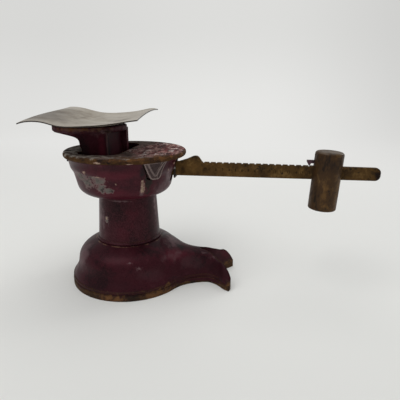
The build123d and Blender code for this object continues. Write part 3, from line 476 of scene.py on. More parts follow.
def surface(
    g: Graph,
    colour: object,
    roughness: object,
    height: object,
    metallic: object = 0.0,
    relief: float = 1.0,
    specular: float = 0.5,
    blend: float = 0.0,
) -> None:
    """Ends a material with a Principled shader and a bump.

    Args:
        g: the material's graph.
        colour: base colour.
        roughness: roughness.
        height: surface height in metres.
        metallic: metallic share.
        relief: strength of the bump.
        specular: specular level.
        blend: radius over which creases are shaded smooth, or 0.
    """
    bump = g.add("ShaderNodeBump")
    bump.inputs["Strength"].default_value = relief
    bump.inputs["Distance"].default_value = 1.0
    g.feed(bump.inputs["Height"], height)
    if blend:
        rounded = g.add("ShaderNodeBevel", samples=BEVEL_SAMPLES)
        rounded.inputs["Radius"].default_value = blend
        g.feed(bump.inputs["Normal"], rounded.outputs["Normal"])
    shader = g.add("ShaderNodeBsdfPrincipled")
    g.feed(shader.inputs["Base Color"], colour)
    g.feed(shader.inputs["Roughness"], roughness)
    g.feed(shader.inputs["Metallic"], metallic)
    shader.inputs["Specular IOR Level"].default_value = specular
    g.feed(shader.inputs["Normal"], bump.outputs[0])
    g.feed(g.add("ShaderNodeOutputMaterial").inputs["Surface"], shader.outputs[0])


# ---- finishes --------------------------------------------------------------------------


@dataclass(frozen=True)
class Patch:
    """One place where a finish is damaged or marked.

    Attributes:
        mark: what shows there.
        centre: its middle, in millimetres.
        reach: its half sizes along X, Y and Z, in millimetres.
        ragged: how uneven its outline is.
        scale: waves per metre of that outline.
        share: how strong a soft mark is.
    """

    mark: Mark
    centre: Triple
    reach: Triple
    ragged: float = 0.9
    scale: float = 220.0
    share: float = 0.6

    def island(self, g: Graph, fx: Effects) -> bpy.types.Node:
        """Places the group that draws this patch.

        Args:
            g: the material's graph.
            fx: the shared node groups.

        Returns:
            The group's node, whose outputs are Mask, Rim and Soft.
        """
        centre, reach = metres(self.centre), metres(self.reach)
        return g.group(fx.patch, Centre=centre, Reach=reach, Ragged=self.ragged, Scale=self.scale)


PATCH_COLOURS: dict[Mark, tuple[Colour, Colour, Colour]] = {  # core, rim, dark spots
    Mark.PRIMER: ((0.128, 0.112, 0.100), (0.215, 0.135, 0.130), (0.030, 0.018, 0.019)),
    Mark.CREAM: ((0.40, 0.29, 0.215), (0.20, 0.105, 0.090), (0.16, 0.10, 0.075)),
    Mark.STAIN: ((0.022, 0.013, 0.011), (0.035, 0.018, 0.016), (0.010, 0.007, 0.006)),
    Mark.RUST: ((0.125, 0.058, 0.023), (0.050, 0.025, 0.016), (0.030, 0.016, 0.011)),
    Mark.HAZE: ((0.135, 0.078, 0.084),) * 3,
    Mark.FRESH: ((0.100, 0.0115, 0.022),) * 3,
    Mark.GRIME: ((0.009, 0.006, 0.0065),) * 3,
    Mark.GLINT: ((0.215, 0.112, 0.032),) * 3,
    Mark.DULL: ((0.108, 0.085, 0.063),) * 3,
    Mark.SHEEN: ((0.420, 0.385, 0.335),) * 3,
}


@dataclass(frozen=True)
class Enamel:
    """Dark maroon gloss enamel on iron, rubbed at its edges and chipped in places.

    Attributes:
        name: the material's name.
        deep: colour where the coat is thick.
        body: colour of most of it.
        haze: greyed colour where it has been handled.
        grainy: how much of that shows as a fine grain all over.
        bare: brown of rubbed edges.
        edge_width: width of the rubbed edges.
        edge_amount: how far they are rubbed.
        floor_wear: height over the floor up to which the rim is bare, or 0.
        shine: roughness of the enamel.
        specular: strength of its reflections.
        rim: a round rim that is rubbed bare, as its centre, radius and width, or None.
        ledge: radius and height of a round ledge with a pale rubbed line, or None.
        patches: the damaged places, and patches of painted light and shade.
        chips: patches laid over the rubbed edges; besides chipped places they hold painted light on the
            cover.
        flecks: how many small specks have flown off.
        crackle: a crazed, rust-stained field as centre and reach in millimetres, or None.
        brown_top: share of brown discolouring on faces that look up.
        blend: radius over which creases look filled with paint, or 0.
    """

    name: str
    deep: Colour = (0.013, 0.0030, 0.0045)
    body: Colour = (0.034, 0.0050, 0.0088)
    haze: Colour = (0.054, 0.0140, 0.0190)
    bare: Colour = (0.125, 0.062, 0.025)
    edge_width: float = 0.9 * MM
    edge_amount: float = 0.55
    floor_wear: float = 0.0
    grainy: float = 0.32
    shine: float = 0.38
    specular: float = 0.13
    rim: tuple[Triple, float, float] | None = None
    ledge: tuple[float, float] | None = None
    patches: tuple[Patch, ...] = ()
    chips: tuple[Patch, ...] = ()
    flecks: float = 0.25
    crackle: tuple[Triple, Triple] | None = None
    brown_top: float = 0.0
    blend: float = 0.0

    def material(self, fx: Effects) -> bpy.types.Material:
        """Builds the node material.

        Args:
            fx: the shared node groups.

        Returns:
            The material.
        """
        material, g = new_graph(self.name)
        tones = g.group(fx.tones, Dark=self.deep, Middle=self.body, Light=self.haze, Scale=34.0, Balance=0.47)
        colour = tones.outputs["Colour"]
        rough = g.blend_values(g.step(tones.outputs["Value"], 0.4, 0.7), self.shine, self.shine + 0.16)
        grainy = g.step(g.noise(g.place(), 820.0, 5.0, 0.75), 0.44, 0.60)
        colour = g.mix(g.math("MULTIPLY", grainy, self.grainy), colour, tuple(c * 1.25 for c in self.haze))
        skin = g.group(fx.skin, Lumps=0.30 * MM, Lump_Scale=70.0, Peel=0.035 * MM, Peel_Scale=620.0)
        height = skin.outputs["Height"]
        if self.brown_top:
            colour, rough = self._brown(g, fx, colour, rough)
        if self.crackle:
            colour, rough, height = self._crazed(g, colour, rough, height)
        for patch in self.patches:
            colour, rough, height = self._damage(g, fx, patch, colour, rough, height)
        specks = g.group(fx.flecks, Scale=330.0, Amount=self.flecks).outputs["Mask"]
        colour = g.mix(specks, colour, (0.12, 0.065, 0.058))
        rough = g.blend_values(specks, rough, 0.6)
        worn = g.group(fx.wear, Width=self.edge_width, Amount=self.edge_amount, Scale=260.0).outputs["Mask"]
        if self.floor_wear:
            worn = g.math("MAXIMUM", worn, self._floor_band(g))
        if self.rim:
            worn = g.math("MAXIMUM", worn, self._rim_band(g))
        bare = g.group(
            fx.tones,
            Dark=(0.020, 0.012, 0.010),
            Middle=tuple(c * 0.55 for c in self.bare),
            Light=tuple(c * 1.25 for c in self.bare),
            Scale=105.0,
            Balance=0.49,
        )
        colour = g.mix(worn, colour, bare.outputs["Colour"])
        rough = g.blend_values(worn, rough, 0.62)
        height = g.math("SUBTRACT", height, g.math("MULTIPLY", worn, 0.08 * MM))
        for chip in self.chips:
            colour, rough, height = self._damage(g, fx, chip, colour, rough, height)
        if self.ledge:
            colour = g.mix(self._ledge_line(g), colour, (0.30, 0.18, 0.11))
        surface(g, colour, rough, height, relief=0.55, specular=self.specular, blend=self.blend)
        return material

    def _rim_band(self, g: Graph) -> bpy.types.NodeSocket:
        """Mask of a bare round rim.

        Args:
            g: the material's graph.

        Returns:
            The mask's socket.
        """
        centre, radius, width = self.rim
        point = g.place()
        away = g.vector("SUBTRACT", point, centre).outputs["Vector"]
        flat = g.vector("MULTIPLY", away, (1.0, 1.0, 0.0)).outputs["Vector"]
        out = g.vector("LENGTH", flat).outputs["Value"]
        broad = g.sway(point, 26.0, 3.0, 0.5, 2.2 * width)
        fine = g.sway(point, 190.0, 6.0, 0.68, 2.4 * width)
        level = g.math("ADD", out, g.math("ADD", broad, fine))
        return g.step(level, radius - width - 0.4 * MM, radius - width + 0.4 * MM)

    def _ledge_line(self, g: Graph) -> bpy.types.NodeSocket:
        """Mask of a thin, broken line along a round ledge.

        Args:
            g: the material's graph.

        Returns:
            The mask's socket.
        """
        radius, rise = self.ledge
        point = g.place()
        flat = g.vector("MULTIPLY", point, (1.0, 1.0, 0.0)).outputs["Vector"]
        out = g.math("SUBTRACT", g.vector("LENGTH", flat).outputs["Value"], radius)
        up = g.math("SUBTRACT", g.axis(point, 2), rise)
        squares = g.math("ADD", g.math("MULTIPLY", out, out), g.math("MULTIPLY", up, up))
        distance = g.math("SQRT", squares)
        line = g.step(distance, 1.0 * MM, 0.35 * MM)
        broken = g.step(g.noise(point, 150.0, 5.0, 0.7), 0.44, 0.62)
        return g.math("MULTIPLY", g.math("MULTIPLY", line, broken), 0.42)

    def _floor_band(self, g: Graph) -> bpy.types.NodeSocket:
        """Mask of the bare band along the floor.

        Args:
            g: the material's graph.

        Returns:
            The mask's socket.
        """
        point = g.place()
        broad = g.math("MULTIPLY", g.math("SUBTRACT", g.noise(point, 17.0, 2.0, 0.5), 0.48), 16 * MM)
        fine = g.sway(point, 150.0, 6.0, 0.7, 8 * MM)
        level = g.math("ADD", g.axis(point, 2), g.math("ADD", broad, fine))
        return g.step(level, self.floor_wear + 0.5 * MM, self.floor_wear - 0.5 * MM)

    def _brown(self, g: Graph, fx: Effects, colour: object, rough: object) -> tuple[object, object]:
        """Lays brown, dull discolouring on faces that look up.

        Args:
            g: the material's graph.
            fx: the shared node groups.
            colour: colour so far.
            rough: roughness so far.

        Returns:
            The new colour and roughness.
        """
        spread = g.step(g.noise(g.place(), 60.0, 5.0, 0.6), 0.24, 0.50)
        mask = g.math("MULTIPLY", g.math("MULTIPLY", g.step(g.upward(), 0.35, 0.9), spread), self.brown_top)
        brown = g.group(
            fx.tones,
            Dark=(0.026, 0.015, 0.013),
            Middle=(0.110, 0.078, 0.065),
            Light=(0.235, 0.180, 0.152),
            Scale=105.0,
            Balance=0.49,
            Stretch=(0.8, 0.42, 1.0),
        )
        return g.mix(mask, colour, brown.outputs["Colour"]), g.blend_values(mask, rough, 0.75)

    def _crazed(
        self, g: Graph, colour: object, rough: object, height: object
    ) -> tuple[object, object, object]:
        """Lays a field of crazed, rust-stained enamel.

        Args:
            g: the material's graph.
            colour: colour so far.
            rough: roughness so far.
            height: height so far.

        Returns:
            The new colour, roughness and height.
        """
        centre, reach = self.crackle
        point = g.place()
        away = g.vector("SUBTRACT", point, metres(centre)).outputs["Vector"]
        away = g.vector("DIVIDE", away, metres(reach)).outputs["Vector"]
        uneven = g.sway(point, 80.0, 5.0, 0.6, 1.8)
        level = g.math("ADD", g.vector("LENGTH", away).outputs["Value"], uneven)
        field_mask = g.step(level, 1.12, 0.80)
        drawn = g.vector("MULTIPLY", point, (1.0, 0.45, 1.0)).outputs["Vector"]
        bent = g.sway(point, 160.0, 3.0, 0.5, 5 * MM)
        warped = g.vector("ADD", drawn, bent).outputs["Vector"]
        cells = g.add("ShaderNodeTexVoronoi", feature="DISTANCE_TO_EDGE")
        g.feed(cells.inputs["Vector"], warped)
        g.feed(cells.inputs["Scale"], 260.0)
        cracks = g.step(cells.outputs["Distance"], 0.17, 0.03)
        ground = g.step(g.noise(warped, 120.0, 5.0, 0.72, 0.5), 0.44, 0.54)
        rusty = g.mix(ground, (0.045, 0.016, 0.015), (0.335, 0.190, 0.168))
        moved = g.vector("ADD", warped, (0.3, 0.1, 0.0)).outputs["Vector"]
        red = g.step(g.noise(moved, 150.0, 5.0, 0.72, 0.5), 0.53, 0.57)
        rusty = g.mix(g.math("MULTIPLY", red, 0.85), rusty, (0.150, 0.032, 0.034))
        moved = g.vector("ADD", warped, (0.0, 0.4, 0.2)).outputs["Vector"]
        pale = g.step(g.noise(moved, 130.0, 5.0, 0.72, 0.5), 0.565, 0.60)
        rusty = g.mix(pale, rusty, (0.62, 0.51, 0.475))
        rusty = g.mix(g.math("MULTIPLY", cracks, 0.6), rusty, (0.030, 0.012, 0.012))
        colour = g.mix(field_mask, colour, rusty)
        rough = g.blend_values(field_mask, rough, 0.7)
        depth = g.math("MULTIPLY", g.math("MULTIPLY", cracks, field_mask), 0.10 * MM)
        return colour, rough, g.math("SUBTRACT", height, depth)

    @staticmethod
    def _damage(
        g: Graph, fx: Effects, patch: Patch, colour: object, rough: object, height: object
    ) -> tuple[object, object, object]:
        """Lays one patch: damage, painted light or painted shade.

        Args:
            g: the material's graph.
            fx: the shared node groups.
            patch: what it lays and where.
            colour: colour so far.
            rough: roughness so far.
            height: height so far.

        Returns:
            The new colour, roughness and height.
        """
        island = patch.island(g, fx)
        mask, rim = island.outputs["Mask"], island.outputs["Rim"]
        core, broken, spots = PATCH_COLOURS[patch.mark]
        # Soft marks have no sharp edge; several of them are painted light and shade.
        if patch.mark in SOFT_MARKS:
            return g.mix(g.math("MULTIPLY", island.outputs["Soft"], patch.share), colour, core), rough, height
        shades = g.group(
            fx.tones,
            Dark=spots,
            Middle=core,
            Light=tuple(min(1.0, c * 1.55) for c in core),
            Scale=230.0,
            Balance=0.485,
        )
        colour = g.mix(mask, colour, shades.outputs["Colour"])
        colour = g.mix(g.math("MULTIPLY", rim, 0.65), colour, broken)
        if patch.mark is Mark.STAIN:
            return colour, rough, height
        rough = g.blend_values(mask, rough, 0.66)
        return colour, rough, g.math("SUBTRACT", height, g.math("MULTIPLY", mask, 0.12 * MM))


@dataclass(frozen=True)
class Metal:
    """A bare metal or a metal with a skin of age on it.

    Attributes:
        name: the material's name.
        dark: colour of the dirtiest spots.
        middle: colour of most of it.
        light: colour where it is rubbed.
        metallic: metallic share of the rubbed places; the dirt has half of it.
        rough: roughness where it is rubbed, and where it is dirty.
        scale: waves per metre of the blotches.
        balance: over 0.5 for a cleaner piece.
        edge: colour of the rubbed edges.
        edge_amount: how far they are rubbed.
        edge_width: their width.
        grain: how the blotches are drawn out along X, Y and Z; under 1 is longer.
        patches: soft marks on it.
        cut: painted shade on a sheet's upright edge faces, or None.
        speck: how many dark specks it has.
        speck_scale: how closely they lie; over 520 is closer.
        speck_colour: their colour.
        streaks: scratches' waves per metre along X, Y and Z, or None.
        lumps: height of the surface's unevenness.
        dusty: share of dust on faces that look up.
        dust_colour: its colour.
        specular: strength of the reflections of its non-metallic share.
    """

    name: str
    dark: Colour
    middle: Colour
    light: Colour
    metallic: float = 0.6
    rough: tuple[float, float] = (0.42, 0.7)
    scale: float = 90.0
    balance: float = 0.5
    edge: Colour = (0.2, 0.17, 0.14)
    edge_amount: float = 0.45
    edge_width: float = 0.45 * MM
    grain: Triple = (1.0, 1.0, 1.0)
    patches: tuple[Patch, ...] = ()
    cut: Colour | None = None
    speck: float = 0.3
    speck_scale: float = 520.0
    speck_colour: Colour = (0.018, 0.013, 0.009)
    streaks: Triple | None = None
    lumps: float = 0.08 * MM
    dusty: float = 0.0
    dust_colour: Colour = (0.20, 0.19, 0.17)
    specular: float = 0.3

    def material(self, fx: Effects) -> bpy.types.Material:
        """Builds the node material.

        Args:
            fx: the shared node groups.

        Returns:
            The material.
        """
        material, g = new_graph(self.name)
        tones = g.group(
            fx.tones,
            Dark=self.dark,
            Middle=self.middle,
            Light=self.light,
            Scale=self.scale,
            Balance=self.balance,
            Stretch=self.grain,
        )
        colour, value = tones.outputs["Colour"], tones.outputs["Value"]
        for patch in self.patches:
            colour = self._mark(g, fx, patch, colour)
        clean = g.step(value, 0.38, 0.62)
        rough = g.blend_values(clean, self.rough[1], self.rough[0])
        metallic = g.blend_values(clean, self.metallic * 0.5, self.metallic)
        specks = g.group(fx.flecks, Scale=self.speck_scale, Amount=self.speck).outputs["Mask"]
        colour = g.mix(g.math("MULTIPLY", specks, 0.85), colour, self.speck_colour)
        worn = g.group(fx.wear, Width=self.edge_width, Amount=self.edge_amount, Scale=420.0).outputs["Mask"]
        colour = g.mix(g.math("MULTIPLY", worn, 0.8), colour, self.edge)
        if self.dusty:
            dust = g.group(fx.dust, Amount=self.dusty, Scale=160.0).outputs["Mask"]
            colour = g.mix(dust, colour, self.dust_colour)
            rough = g.blend_values(dust, rough, 0.8)
            metallic = g.blend_values(dust, metallic, 0.0)
        # Upright faces of a sheet's edges are painted darker: painted shade.
        if self.cut:
            upright = g.math("ABSOLUTE", g.upward())
            colour = g.mix(g.step(upright, 0.60, 0.35), colour, self.cut)
        skin = g.group(fx.skin, Lumps=self.lumps, Lump_Scale=180.0, Peel=0.012 * MM, Peel_Scale=1500.0)
        height = g.math("SUBTRACT", skin.outputs["Height"], g.math("MULTIPLY", specks, 0.03 * MM))
        if self.streaks:
            lines = g.group(fx.scratches, Stretch=self.streaks, Amount=0.5).outputs["Mask"]
            colour = g.mix(g.math("MULTIPLY", lines, 0.35), colour, self.edge)
            height = g.math("SUBTRACT", height, g.math("MULTIPLY", lines, 0.015 * MM))
        surface(g, colour, rough, height, metallic, relief=0.5, specular=self.specular)
        return material

    @staticmethod
    def _mark(g: Graph, fx: Effects, patch: Patch, colour: object) -> bpy.types.NodeSocket:
        """Lays one soft mark.

        Args:
            g: the material's graph.
            fx: the shared node groups.
            patch: the mark.
            colour: colour so far.

        Returns:
            The new colour.
        """
        island = patch.island(g, fx)
        share = g.math("MULTIPLY", island.outputs["Soft"], patch.share)
        return g.mix(share, colour, PATCH_COLOURS[patch.mark][0])


@dataclass(frozen=True)
class Stamping:
    """Dark dirt that fills the stamped ticks and figures.

    Attributes:
        name: the material's name.
        dirt: colour of the dirt.
        rubbed: colour where it has worn out.
    """

    name: str = "stamped_dirt"
    dirt: Colour = (0.014, 0.008, 0.004)
    rubbed: Colour = (0.040, 0.024, 0.010)

    def material(self, fx: Effects) -> bpy.types.Material:
        """Builds the node material.

        Args:
            fx: the shared node groups.

        Returns:
            The material.
        """
        material, g = new_graph(self.name)
        tones = g.group(
            fx.tones, Dark=self.dirt, Middle=self.dirt, Light=self.rubbed, Scale=260.0, Balance=0.5
        )
        skin = g.group(fx.skin, Lumps=0.02 * MM, Lump_Scale=400.0, Peel=0.01 * MM, Peel_Scale=1500.0)
        surface(g, tones.outputs["Colour"], 0.85, skin.outputs["Height"], relief=0.4, specular=0.03)
        return material


# ---- mesh helpers ------------------------------------------------------------------------


def dress(names: tuple[str, ...], material: bpy.types.Material) -> None:
    """Gives CAD nodes a material.

    Args:
        names: the nodes.
        material: their new material.
    """
    for name in names:
        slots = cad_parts[name].material_slots
        for place in slots:
            place.link = "OBJECT"
            place.material = material


def soften(names: tuple[str, ...], width: float) -> None:
    """Rounds the sharp edges of CAD nodes with modifiers.

    Args:
        names: the nodes.
        width: the rounding's size.
    """
    for name in names:
        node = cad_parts[name]
        weld = node.modifiers.new("weld", "WELD")
        weld.merge_threshold = WELD_REACH
        bevel = node.modifiers.new("soft_edges", "BEVEL")
        bevel.width = width
        bevel.segments = 2
        bevel.limit_method = "ANGLE"
        bevel.angle_limit = SHARP_ANGLE
        bevel.harden_normals = False
        bevel.use_clamp_overlap = True
        shading = node.modifiers.new("even_shading", "WEIGHTED_NORMAL")
        shading.keep_sharp = False
        shading.weight = 80


# ---- sub-assemblies ------------------------------------------------------------------------


@dataclass
class Stand:
    """The cast stand: foot, column, bowl and cover, with the screws and bearing gear fixed to it."""

    edge: float = 0.35 * MM
    foot_patches: tuple[Patch, ...] = (
        # Redder patches: painted light where the enamel is lit.
        Patch(Mark.FRESH, (6.0, -48.0, 37.0), (26.0, 14.0, 4.0), 0.7, 90.0, 0.28),
        Patch(Mark.FRESH, (54.0, -18.0, 34.0), (28.0, 16.0, 9.0), 0.6, 80.0, 0.45),
        Patch(Mark.FRESH, (98.0, 33.0, 22.0), (14.0, 12.0, 10.0), 0.3, 90.0, 0.8),
        Patch(Mark.HAZE, (58.0, -21.0, 33.0), (20.0, 12.0, 5.0), 0.8, 110.0, 0.35),
        # Painted sheen on the dome's left.
        Patch(Mark.HAZE, (-40.0, -33.0, 33.0), (12.0, 16.0, 15.0), 0.6, 90.0, 0.65),
        Patch(Mark.HAZE, (-53.0, -26.0, 18.0), (9.0, 14.0, 13.0), 0.7, 90.0, 0.4),
        # Painted highlight on the tail's root.
        Patch(Mark.HAZE, (45.0, 1.0, 41.0), (11.0, 12.0, 6.0), 0.7, 120.0, 0.75),
        Patch(Mark.GRIME, (57.0, -2.0, 36.5), (9.0, 6.0, 4.5), 0.7, 160.0, 0.85),
        Patch(Mark.GRIME, (92.0, -15.0, 20.0), (20.0, 13.0, 16.0), 0.5, 80.0, 0.50),
        Patch(Mark.GRIME, (-10.0, -55.0, 14.0), (34.0, 14.0, 8.0), 0.5, 80.0, 0.22),
        Patch(Mark.HAZE, (34.0, -42.0, 22.0), (20.0, 10.0, 8.0), 0.7, 90.0, 0.10),
        Patch(Mark.HAZE, (68.0, -10.0, 24.0), (16.0, 8.0, 9.0), 0.7, 90.0, 0.16),
        Patch(Mark.HAZE, (82.5, -1.8, 31.0), (5.0, 1.3, 1.2), 0.9, 260.0, 0.45),
        Patch(Mark.HAZE, (90.0, -4.6, 27.8), (5.0, 1.3, 2.6), 0.9, 260.0, 0.40),
        Patch(Mark.HAZE, (15.3, -47.6, 35.1), (2.4, 2.0, 0.9), 0.9, 600.0, 0.8),
        Patch(Mark.HAZE, (24.5, -46.9, 29.8), (3.2, 2.4, 1.6), 1.2, 600.0, 0.8),
        Patch(Mark.RUST, (111.0, -25.0, 2.0), (5.0, 7.0, 8.0), 0.7, 240.0),
        Patch(Mark.RUST, (107.0, 31.0, 2.0), (10.0, 10.0, 9.0), 0.7, 200.0),
    )
    foot_chips: tuple[Patch, ...] = (
        Patch(Mark.RUST, (1.0, -60.5, 2.5), (12.0, 5.0, 4.6), 1.3, 190.0),
        Patch(Mark.RUST, (43.0, -44.0, 3.0), (19.0, 14.0, 4.8), 1.3, 190.0),
        Patch(Mark.GRIME, (20.0, -57.5, 4.0), (10.0, 6.0, 6.0), 0.9, 170.0, 0.75),
        Patch(Mark.GRIME, (-24.0, -57.0, 1.0), (13.0, 7.0, 5.0), 0.9, 170.0, 0.5),
    )
    column_patches: tuple[Patch, ...] = (
        # Redder patches: painted light on the column's lit front.
        Patch(Mark.FRESH, (4.0, -31.0, 60.0), (9.0, 6.0, 16.0), 0.7, 110.0, 0.22),
        Patch(Mark.FRESH, (13.0, -28.5, 80.0), (7.0, 6.0, 14.0), 0.8, 110.0, 0.28),
        # Darker down the column's right flank: painted shade.
        Patch(Mark.GRIME, (27.5, -14.0, 74.0), (6.5, 9.0, 28.0), 0.7, 110.0, 0.50),
        Patch(Mark.GRIME, (-2.0, -30.0, 84.0), (14.0, 6.0, 8.0), 0.6, 90.0, 0.35),
        Patch(Mark.HAZE, (-24.0, -19.0, 72.0), (7.0, 7.0, 22.0), 0.9, 120.0, 0.85),
        # Painted highlight down the column's right edge.
        Patch(Mark.HAZE, (30.0, -3.5, 82.0), (2.6, 3.2, 14.0), 1.0, 160.0, 0.9),
        Patch(Mark.HAZE, (-19.0, -25.0, 72.0), (3.0, 3.0, 12.0), 0.9, 200.0, 0.6),
        Patch(Mark.PRIMER, (-13.4, -27.5, 71.0), (2.2, 1.8, 3.0), 0.9, 400.0),
        Patch(Mark.CREAM, (-13.6, -27.3, 72.2), (1.1, 1.2, 1.4), 0.9, 500.0),
        Patch(Mark.HAZE, (-11.6, -28.4, 67.2), (1.6, 1.6, 2.6), 1.2, 400.0, 0.9),
        Patch(Mark.HAZE, (1.0, -29.4, 91.6), (16.0, 3.0, 0.8), 1.3, 260.0, 0.9),
    )
    bowl_patches: tuple[Patch, ...] = (
        # Redder patches: painted light on the bowl's lit front.
        Patch(Mark.FRESH, (8.0, -49.0, 122.0), (30.0, 8.0, 5.5), 0.3, 80.0, 0.6),
        Patch(Mark.FRESH, (6.0, -48.0, 104.0), (24.0, 10.0, 6.0), 0.3, 80.0, 0.55),
        # Painted shade under the cover's rim.
        Patch(Mark.GRIME, (14.0, -53.0, 129.5), (24.0, 8.0, 3.5), 0.6, 120.0, 0.35),
        Patch(Mark.HAZE, (-40.0, -36.0, 121.0), (7.0, 12.0, 5.0), 0.9, 160.0, 0.8),
        Patch(Mark.HAZE, (-30.0, -44.0, 120.0), (12.0, 7.0, 2.2), 1.2, 200.0, 0.75),
        # Painted highlights down the bowl's right, beside the lug.
        Patch(Mark.HAZE, (48.0, -12.0, 117.0), (7.0, 8.0, 13.0), 0.8, 130.0, 1.0),
        Patch(Mark.HAZE, (42.0, -24.0, 104.0), (7.0, 9.0, 6.0), 0.8, 130.0, 0.6),
        Patch(Mark.PRIMER, (-28.5, -42.4, 117.4), (9.6, 7.0, 3.4), 0.95, 260.0),
        Patch(Mark.PRIMER, (-22.6, -45.0, 112.6), (6.6, 6.0, 4.8), 0.95, 260.0),
        Patch(Mark.PRIMER, (-14.5, -48.9, 118.6), (6.0, 4.0, 1.3), 1.10, 330.0),
        Patch(Mark.PRIMER, (-9.4, -49.5, 115.8), (5.2, 5.0, 3.5), 1.00, 280.0),
        Patch(Mark.PRIMER, (-8.0, -48.2, 108.4), (4.8, 5.0, 4.0), 1.05, 280.0),
        Patch(Mark.PRIMER, (-1.6, -47.6, 106.8), (4.0, 4.0, 2.1), 1.20, 300.0),
        Patch(Mark.CREAM, (-23.3, -47.7, 123.1), (2.7, 2.4, 1.5), 1.1, 260.0),
        Patch(Mark.CREAM, (-10.0, -51.5, 119.8), (5.0, 2.0, 0.35), 1.6, 500.0),
        Patch(Mark.CREAM, (6.1, -48.7, 113.5), (0.8, 0.8, 0.7), 0.8, 700.0),
        Patch(Mark.STAIN, (32.2, -35.0, 111.5), (3.2, 4.0, 8.0), 0.9, 200.0),
        # Painted shadow at the lug's left side.
        Patch(Mark.GRIME, (29.5, -42.0, 124.5), (3.0, 5.0, 9.0), 0.5, 200.0, 0.95),
        Patch(Mark.HAZE, (26.6, -37.0, 103.5), (2.2, 3.0, 6.0), 0.7, 260.0, 1.0),
        Patch(Mark.CREAM, (28.4, -38.5, 112.6), (1.3, 2.4, 3.0), 0.9, 260.0),
        Patch(Mark.CREAM, (27.6, -37.5, 107.6), (1.7, 2.6, 4.6), 0.9, 260.0),
        # Two pale spots: a painted highlight right of the lug and a painted glint by the beam's slot.
        Patch(Mark.CREAM, (47.3, -17.0, 124.6), (1.0, 1.6, 2.4), 1.4, 420.0),
        Patch(Mark.CREAM, (51.6, -8.8, 127.4), (1.3, 1.3, 1.2), 0.6, 420.0),
    )
    rim_chips: tuple[Patch, ...] = (
        Patch(Mark.GRIME, (-53.0, -28.0, 134.5), (17.0, 22.0, 3.5), 0.8, 120.0, 0.60),
        # Paler haze and sheen on the cover's left: painted light where the plate's shadow falls.
        Patch(Mark.HAZE, (-54.0, -26.0, 137.5), (10.0, 16.0, 2.0), 1.2, 160.0, 0.7),
        Patch(Mark.RUST, (24.0, -54.5, 137.6), (20.0, 7.0, 1.3), 1.2, 190.0),
        Patch(Mark.RUST, (46.0, -38.0, 137.0), (12.0, 12.0, 1.8), 1.2, 190.0),
        Patch(Mark.CREAM, (-4.9, -60.6, 134.9), (3.2, 2.5, 0.9), 1.0, 380.0),
        Patch(Mark.CREAM, (22.6, -56.4, 133.9), (2.2, 2.5, 0.5), 1.0, 380.0),
        Patch(Mark.SHEEN, (22.0, -56.5, 138.6), (5.0, 2.5, 0.8), 1.2, 300.0, 0.45),
        Patch(Mark.SHEEN, (-50.0, -24.0, 139.4), (20.0, 34.0, 2.4), 2.0, 130.0, 0.95),
        Patch(Mark.SHEEN, (-20.0, -52.0, 139.4), (24.0, 8.0, 1.8), 1.8, 160.0, 0.40),
    )
    crazed_centre: Triple = (36.0, 0.0, 138.8)
    crazed_reach: Triple = (30.0, 50.0, 8.0)
    bare_rim: float = 1.2 * MM
    ledge: tuple[float, float] = (34.6 * MM, 45.4 * MM)

    def dress(self, fx: Effects) -> None:
        """Gives the stand's nodes their finishes.

        Args:
            fx: the shared node groups.
        """
        foot = Enamel(
            "enamel_foot",
            floor_wear=5.2 * MM,
            patches=self.foot_patches,
            chips=self.foot_chips,
            edge_width=1.1 * MM,
            specular=0.09,
            ledge=self.ledge,
            blend=2.6 * MM,
        )
        dress(("base_casting",), foot.material(fx))
        column = Enamel(
            "enamel_column",
            body=(0.038, 0.0065, 0.0105),
            haze=(0.076, 0.0240, 0.0300),
            patches=self.column_patches,
            grainy=0.45,
            shine=0.32,
            specular=0.10,
            blend=1.2 * MM,
        )
        dress(("column",), column.material(fx))
        bowl = Enamel(
            "enamel_bowl",
            deep=(0.030, 0.0045, 0.0085),
            body=(0.052, 0.0068, 0.0128),
            haze=(0.090, 0.0220, 0.0300),
            patches=self.bowl_patches,
            shine=0.34,
            blend=1.5 * MM,
        )
        dress(("bowl",), bowl.material(fx))
        low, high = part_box("cover")
        centre = (low + high) / 2
        cover = Enamel(
            "enamel_cover",
            chips=self.rim_chips,
            brown_top=1.0,
            crackle=(self.crazed_centre, self.crazed_reach),
            rim=(tuple(centre), (high.x - low.x) / 2, self.bare_rim),
            edge_width=2.0 * MM,
            edge_amount=0.7,
            shine=0.6,
            specular=0.03,
        )
        dress(("cover",), cover.material(fx))
        steel = Metal(
            "old_steel", (0.020, 0.016, 0.014), (0.055, 0.045, 0.037), (0.13, 0.11, 0.09), speck=0.4
        )
        dress(("tie_bolt", "tie_washer", "tie_nut", "lug_screws", "fulcrum_clamp_screws"), steel.material(fx))
